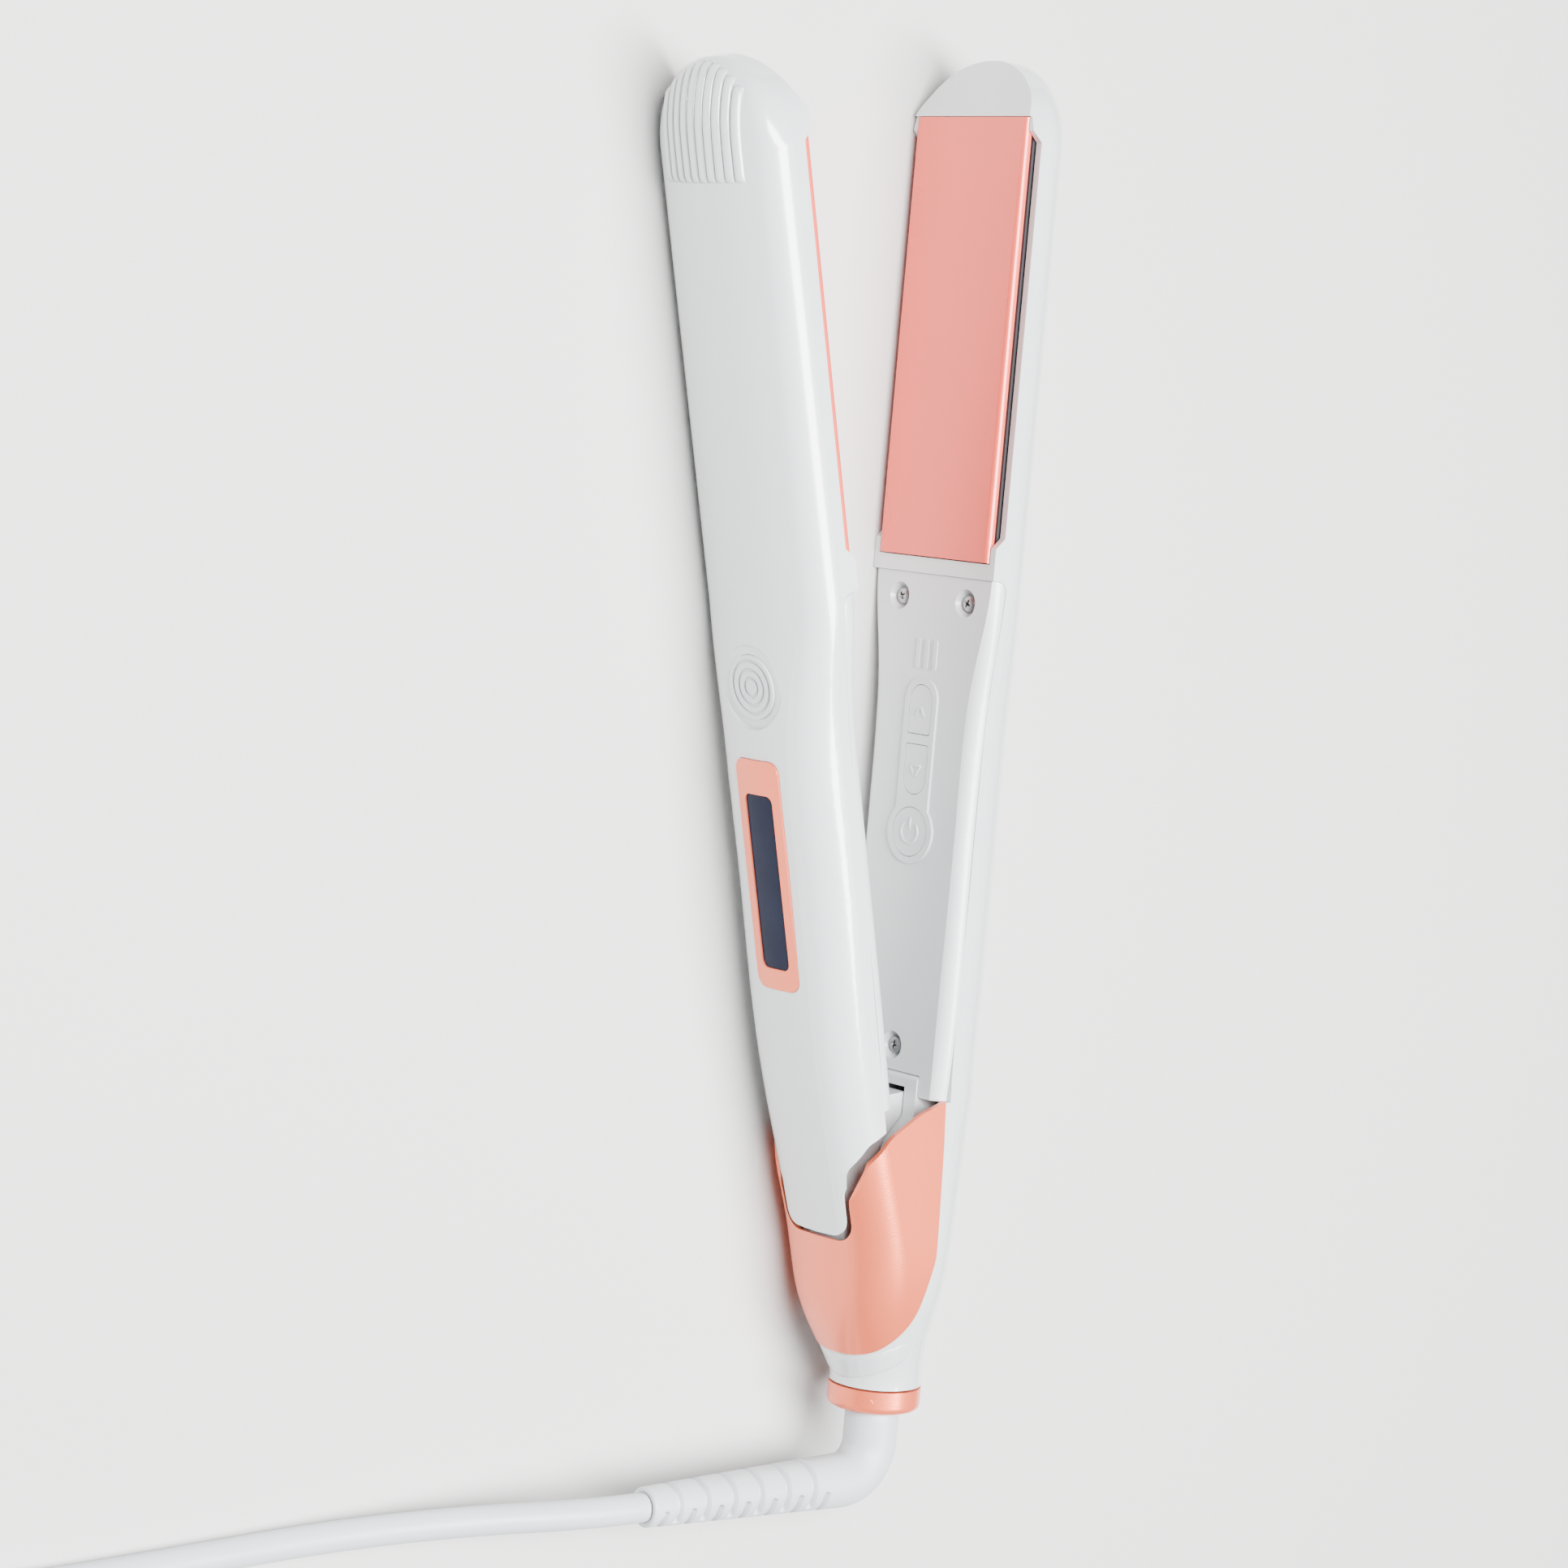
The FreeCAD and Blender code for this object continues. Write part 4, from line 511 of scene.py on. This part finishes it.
def lathe(profile, steps=40):
    """Turns (x, radius) round the x axis, with poles at both ends."""
    verts, faces = [Vector((profile[0][0], 0, 0))], []
    for x, radius in profile[1:-1]:
        for k in range(steps):
            angle = 2 * math.pi * k / steps
            verts.append(Vector((x, radius * math.cos(angle), radius * math.sin(angle))))
    verts.append(Vector((profile[-1][0], 0, 0)))
    rings = len(profile) - 2
    for k in range(steps):
        after = (k + 1) % steps
        faces.append((0, 1 + after, 1 + k))
        for i in range(rings - 1):
            low, high = 1 + i * steps, 1 + (i + 1) * steps
            faces.append((low + k, low + after, high + after, high + k))
        end = 1 + (rings - 1) * steps
        faces.append((end + k, end + after, len(verts) - 1))
    return verts, faces


def screw_mesh():
    """A pan-head screw with a tapered cross recess, its head towards -x, in millimetres."""
    profile = [(0, 0), (0, 0.7), (0.05, 1.15), (0.18, 1.5), (0.42, 1.76), (0.7, 1.85), (1.2, 1.85),
               (1.2, 1.1), (8.2, 1.1), (8.4, 0.9), (8.4, 0)]
    mesh = tidy_normals(mesh_from("screw", *lathe(profile)))
    screw = bpy.data.objects.new("screw_blank", mesh)
    bpy.context.scene.collection.objects.link(screw)
    tools = []
    for turn in (0, math.pi / 2):
        work = bmesh.new()
        bmesh.ops.create_cube(work, size=1)
        for vert in work.verts:
            deep = vert.co.x > 0
            wide, long = (0.3, 1.0) if deep else (0.5, 2.3)
            vert.co = Vector((0.75 if deep else -0.5, vert.co.y * wide, vert.co.z * long))
        bmesh.ops.rotate(work, verts=work.verts, matrix=Matrix.Rotation(turn, 3, "X"))
        tool_mesh = bpy.data.meshes.new("cross_tool")
        work.to_mesh(tool_mesh)
        work.free()
        tool = bpy.data.objects.new("cross_tool", tool_mesh)
        bpy.context.scene.collection.objects.link(tool)
        cut = screw.modifiers.new("cross", "BOOLEAN")
        cut.operation, cut.solver, cut.object = "DIFFERENCE", "EXACT", tool
        tools.append(tool)
    bpy.context.view_layer.update()
    shown = screw.evaluated_get(bpy.context.evaluated_depsgraph_get())
    result = bpy.data.meshes.new_from_object(shown)
    for thing in tools + [screw]:
        bpy.data.objects.remove(thing)
    return result


# Along the arm, across it (millimetres) and the turn of the cross (radians).
SCREW_HEAD_X = 2.0
SCREW_SPOTS = ((-8.7, 9.85, 0.5), (-8.7, -9.85, 1.1), (-101.7, 0, 0.2))


def add_screws(materials):
    """Both arms' cover screws, in place of the plain CAD ones."""
    blank = screw_mesh()
    for arm, matrix in (("control", CONTROL_ARM), ("display", DISPLAY_ARM)):
        whole = bmesh.new()
        for along, across, turn in SCREW_SPOTS:
            single = blank.copy()
            place = matrix @ Matrix.Translation(Vector((SCREW_HEAD_X, along, across)) * MM)
            single.transform(place @ Matrix.Rotation(turn, 4, "X") @ Matrix.Scale(MM, 4))
            whole.from_mesh(single)
        mesh = bpy.data.meshes.new(arm + "_screws")
        whole.to_mesh(mesh)
        whole.free()
        piece = new_piece(arm + "_screws", mesh, materials["screw_steel"], arm + "_arm")
        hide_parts(arm + "_cover_screws")


# ---------------------------------------------------------------- cord guard and tie

GUARD_TOP, GUARD_ELBOW, GUARD_BEND, GUARD_END = -179.2, -185.9, 8.0, -55.7
GUARD_RADIUS, GUARD_END_RADIUS, GUARD_STEPS, GUARD_STATION = 5.7, 4.1, 160, 0.6
SLOT_COUNT, SLOT_FIRST, SLOT_PITCH, SLOT_DEEP = 13, 7.6, 3.54, 1.35


def guard_stations():
    """Centre, direction, radius and distance along the boot (None before it), in millimetres."""
    bend_x = NECK_X - GUARD_BEND
    stations = []
    for drop, radius in ((0, 5.1), (0, 5.3), (0.12, 5.58), (0.4, 5.7), (2, 5.7), (4, 5.7), (6, 5.7)):
        stations.append((Vector((NECK_X, GUARD_TOP - drop, 0)), Vector((0, -1, 0)), radius, None))
    for k in range(17):
        angle = math.pi / 2 * k / 16
        centre = Vector((bend_x + GUARD_BEND * math.cos(angle), GUARD_ELBOW - GUARD_BEND * math.sin(angle), 0))
        stations.append((centre, Vector((-math.sin(angle), -math.cos(angle), 0)), GUARD_RADIUS, None))
    length = bend_x - GUARD_END
    spots = {GUARD_STATION * k for k in range(1, int(length / GUARD_STATION))}
    for slot in range(SLOT_COUNT):
        middle = SLOT_FIRST + SLOT_PITCH * slot
        spots = {s for s in spots if abs(s - middle) > 1.1}
        spots |= {middle + step for step in (-0.98, -0.9, -0.72, -0.62, -0.3, 0, 0.3, 0.62, 0.72, 0.9, 0.98)}
    for spot in sorted(s for s in spots if s < length - 0.8):
        radius = GUARD_RADIUS + (GUARD_END_RADIUS - GUARD_RADIUS) * spot / length
        stations.append((Vector((bend_x - spot, GUARD_ELBOW - GUARD_BEND, 0)), Vector((-1, 0, 0)), radius, spot))
    for back, radius in ((0.7, 4.12), (0.4, 4.08), (0.15, 3.9), (0, 3.6), (0, 3.0), (2.0, 2.9)):
        centre = Vector((GUARD_END + back, GUARD_ELBOW - GUARD_BEND, 0))
        stations.append((centre, Vector((-1, 0, 0)), radius, None))
    return stations


def slot_depth(spot, angle, radius):
    """How deep the boot is cut, with slots from alternate sides."""
    index = round((spot - SLOT_FIRST) / SLOT_PITCH)
    if not 0 <= index < SLOT_COUNT:
        return 0
    middle = math.radians(-98 if index % 2 == 0 else 43)
    half_span = math.radians(84)
    off = abs((angle - middle + math.pi) % (2 * math.pi) - math.pi)
    past = max(0, off - half_span) * radius
    away = math.hypot(spot - SLOT_FIRST - index * SLOT_PITCH, past)
    inside = min(max((0.9 - away) / 0.2, 0), 1)
    return min(SLOT_DEEP, radius - 3.25) * inside


def add_guard(materials):
    """The elbow and the slotted boot, swept along the stations."""
    steps = GUARD_STEPS
    verts, faces = [], []
    stations = guard_stations()
    for centre, direction, radius, spot in stations:
        inner = direction.cross(Vector((0, 0, 1)))
        for k in range(steps):
            angle = 2 * math.pi * k / steps
            reach = radius - (slot_depth(spot, angle, radius) if spot is not None else 0)
            local = centre + (Vector((0, 0, 1)) * math.cos(angle) + inner * math.sin(angle)) * reach
            verts.append(CONTROL_ARM @ (local * MM))
    for i in range(len(stations) - 1):
        for k in range(steps):
            after = (k + 1) % steps
            faces.append((i * steps + k, i * steps + after, (i + 1) * steps + after, (i + 1) * steps + k))
    faces.append(tuple(reversed(range(steps))))
    faces.append(tuple((len(stations) - 1) * steps + k for k in range(steps)))
    mesh = tidy_normals(mesh_from("cord_boot", verts, faces))
    boot = new_piece("cord_boot", mesh, materials["cord_white"], "cord")
    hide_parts("cord_guard")
    return boot


def add_tie(materials):
    """A soft band round the coil's turns."""
    low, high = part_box("cord_coil")
    middle = (low + high) / 2
    near, far = 20.9 * MM, (high.x - low.x) / 2
    centre_r, half_r = (near + far) / 2, (far - near) / 2 + 0.3 * MM
    half_z = (high.z - low.z) / 2
    corner = 4.5 * MM
    loop = []
    for sign_r, sign_z, start in ((1, 1, 0), (-1, 1, 90), (-1, -1, 180), (1, -1, 270)):
        for k in range(7):
            angle = math.radians(start + 15 * k)
            loop.append((sign_r * (half_r - corner) + corner * math.cos(angle),
                         sign_z * (half_z - corner) + corner * math.sin(angle)))
    turn = math.radians(200)
    radial, along = Vector((math.cos(turn), math.sin(turn), 0)), Vector((-math.sin(turn), math.cos(turn), 0))
    verts, faces = [], []
    widths = (-5.5, -5.2, 0, 5.2, 5.5)
    lifts = (0, 0.45, 0.5, 0.45, 0)
    for width, lift in zip(widths, lifts):
        for r, z in loop:
            grow = 1 + lift * MM / max(math.hypot(r, z), 1e-6)
            height = max(low.z + half_z + z * grow, 0.0001)
            spot = middle.xy.to_3d() + radial * (centre_r + r * grow) + along * width * MM
            verts.append(spot + Vector((0, 0, height)))
    count = len(loop)
    for i in range(len(widths) - 1):
        for k in range(count):
            after = (k + 1) % count
            faces.append((i * count + k, i * count + after, (i + 1) * count + after, (i + 1) * count + k))
    faces += [tuple(range(count)), tuple((len(widths) - 1) * count + k for k in reversed(range(count)))]
    mesh = tidy_normals(mesh_from("cord_tie", verts, faces))
    return new_piece("cord_tie", mesh, materials["carrier_plastic"], "cord")


# ---------------------------------------------------------------- building

add_camera()
light_scene()
materials = make_materials()
add_floor()
soften_window(materials)
dress_cad_nodes(materials)
cord = add_cord(materials)
boot = add_guard(materials)
tie = add_tie(materials)
add_ribs(materials)
add_button_marks(materials)
add_neck_step(materials)
add_neck_seam(materials)
add_ring_mark(materials)
add_screws(materials)
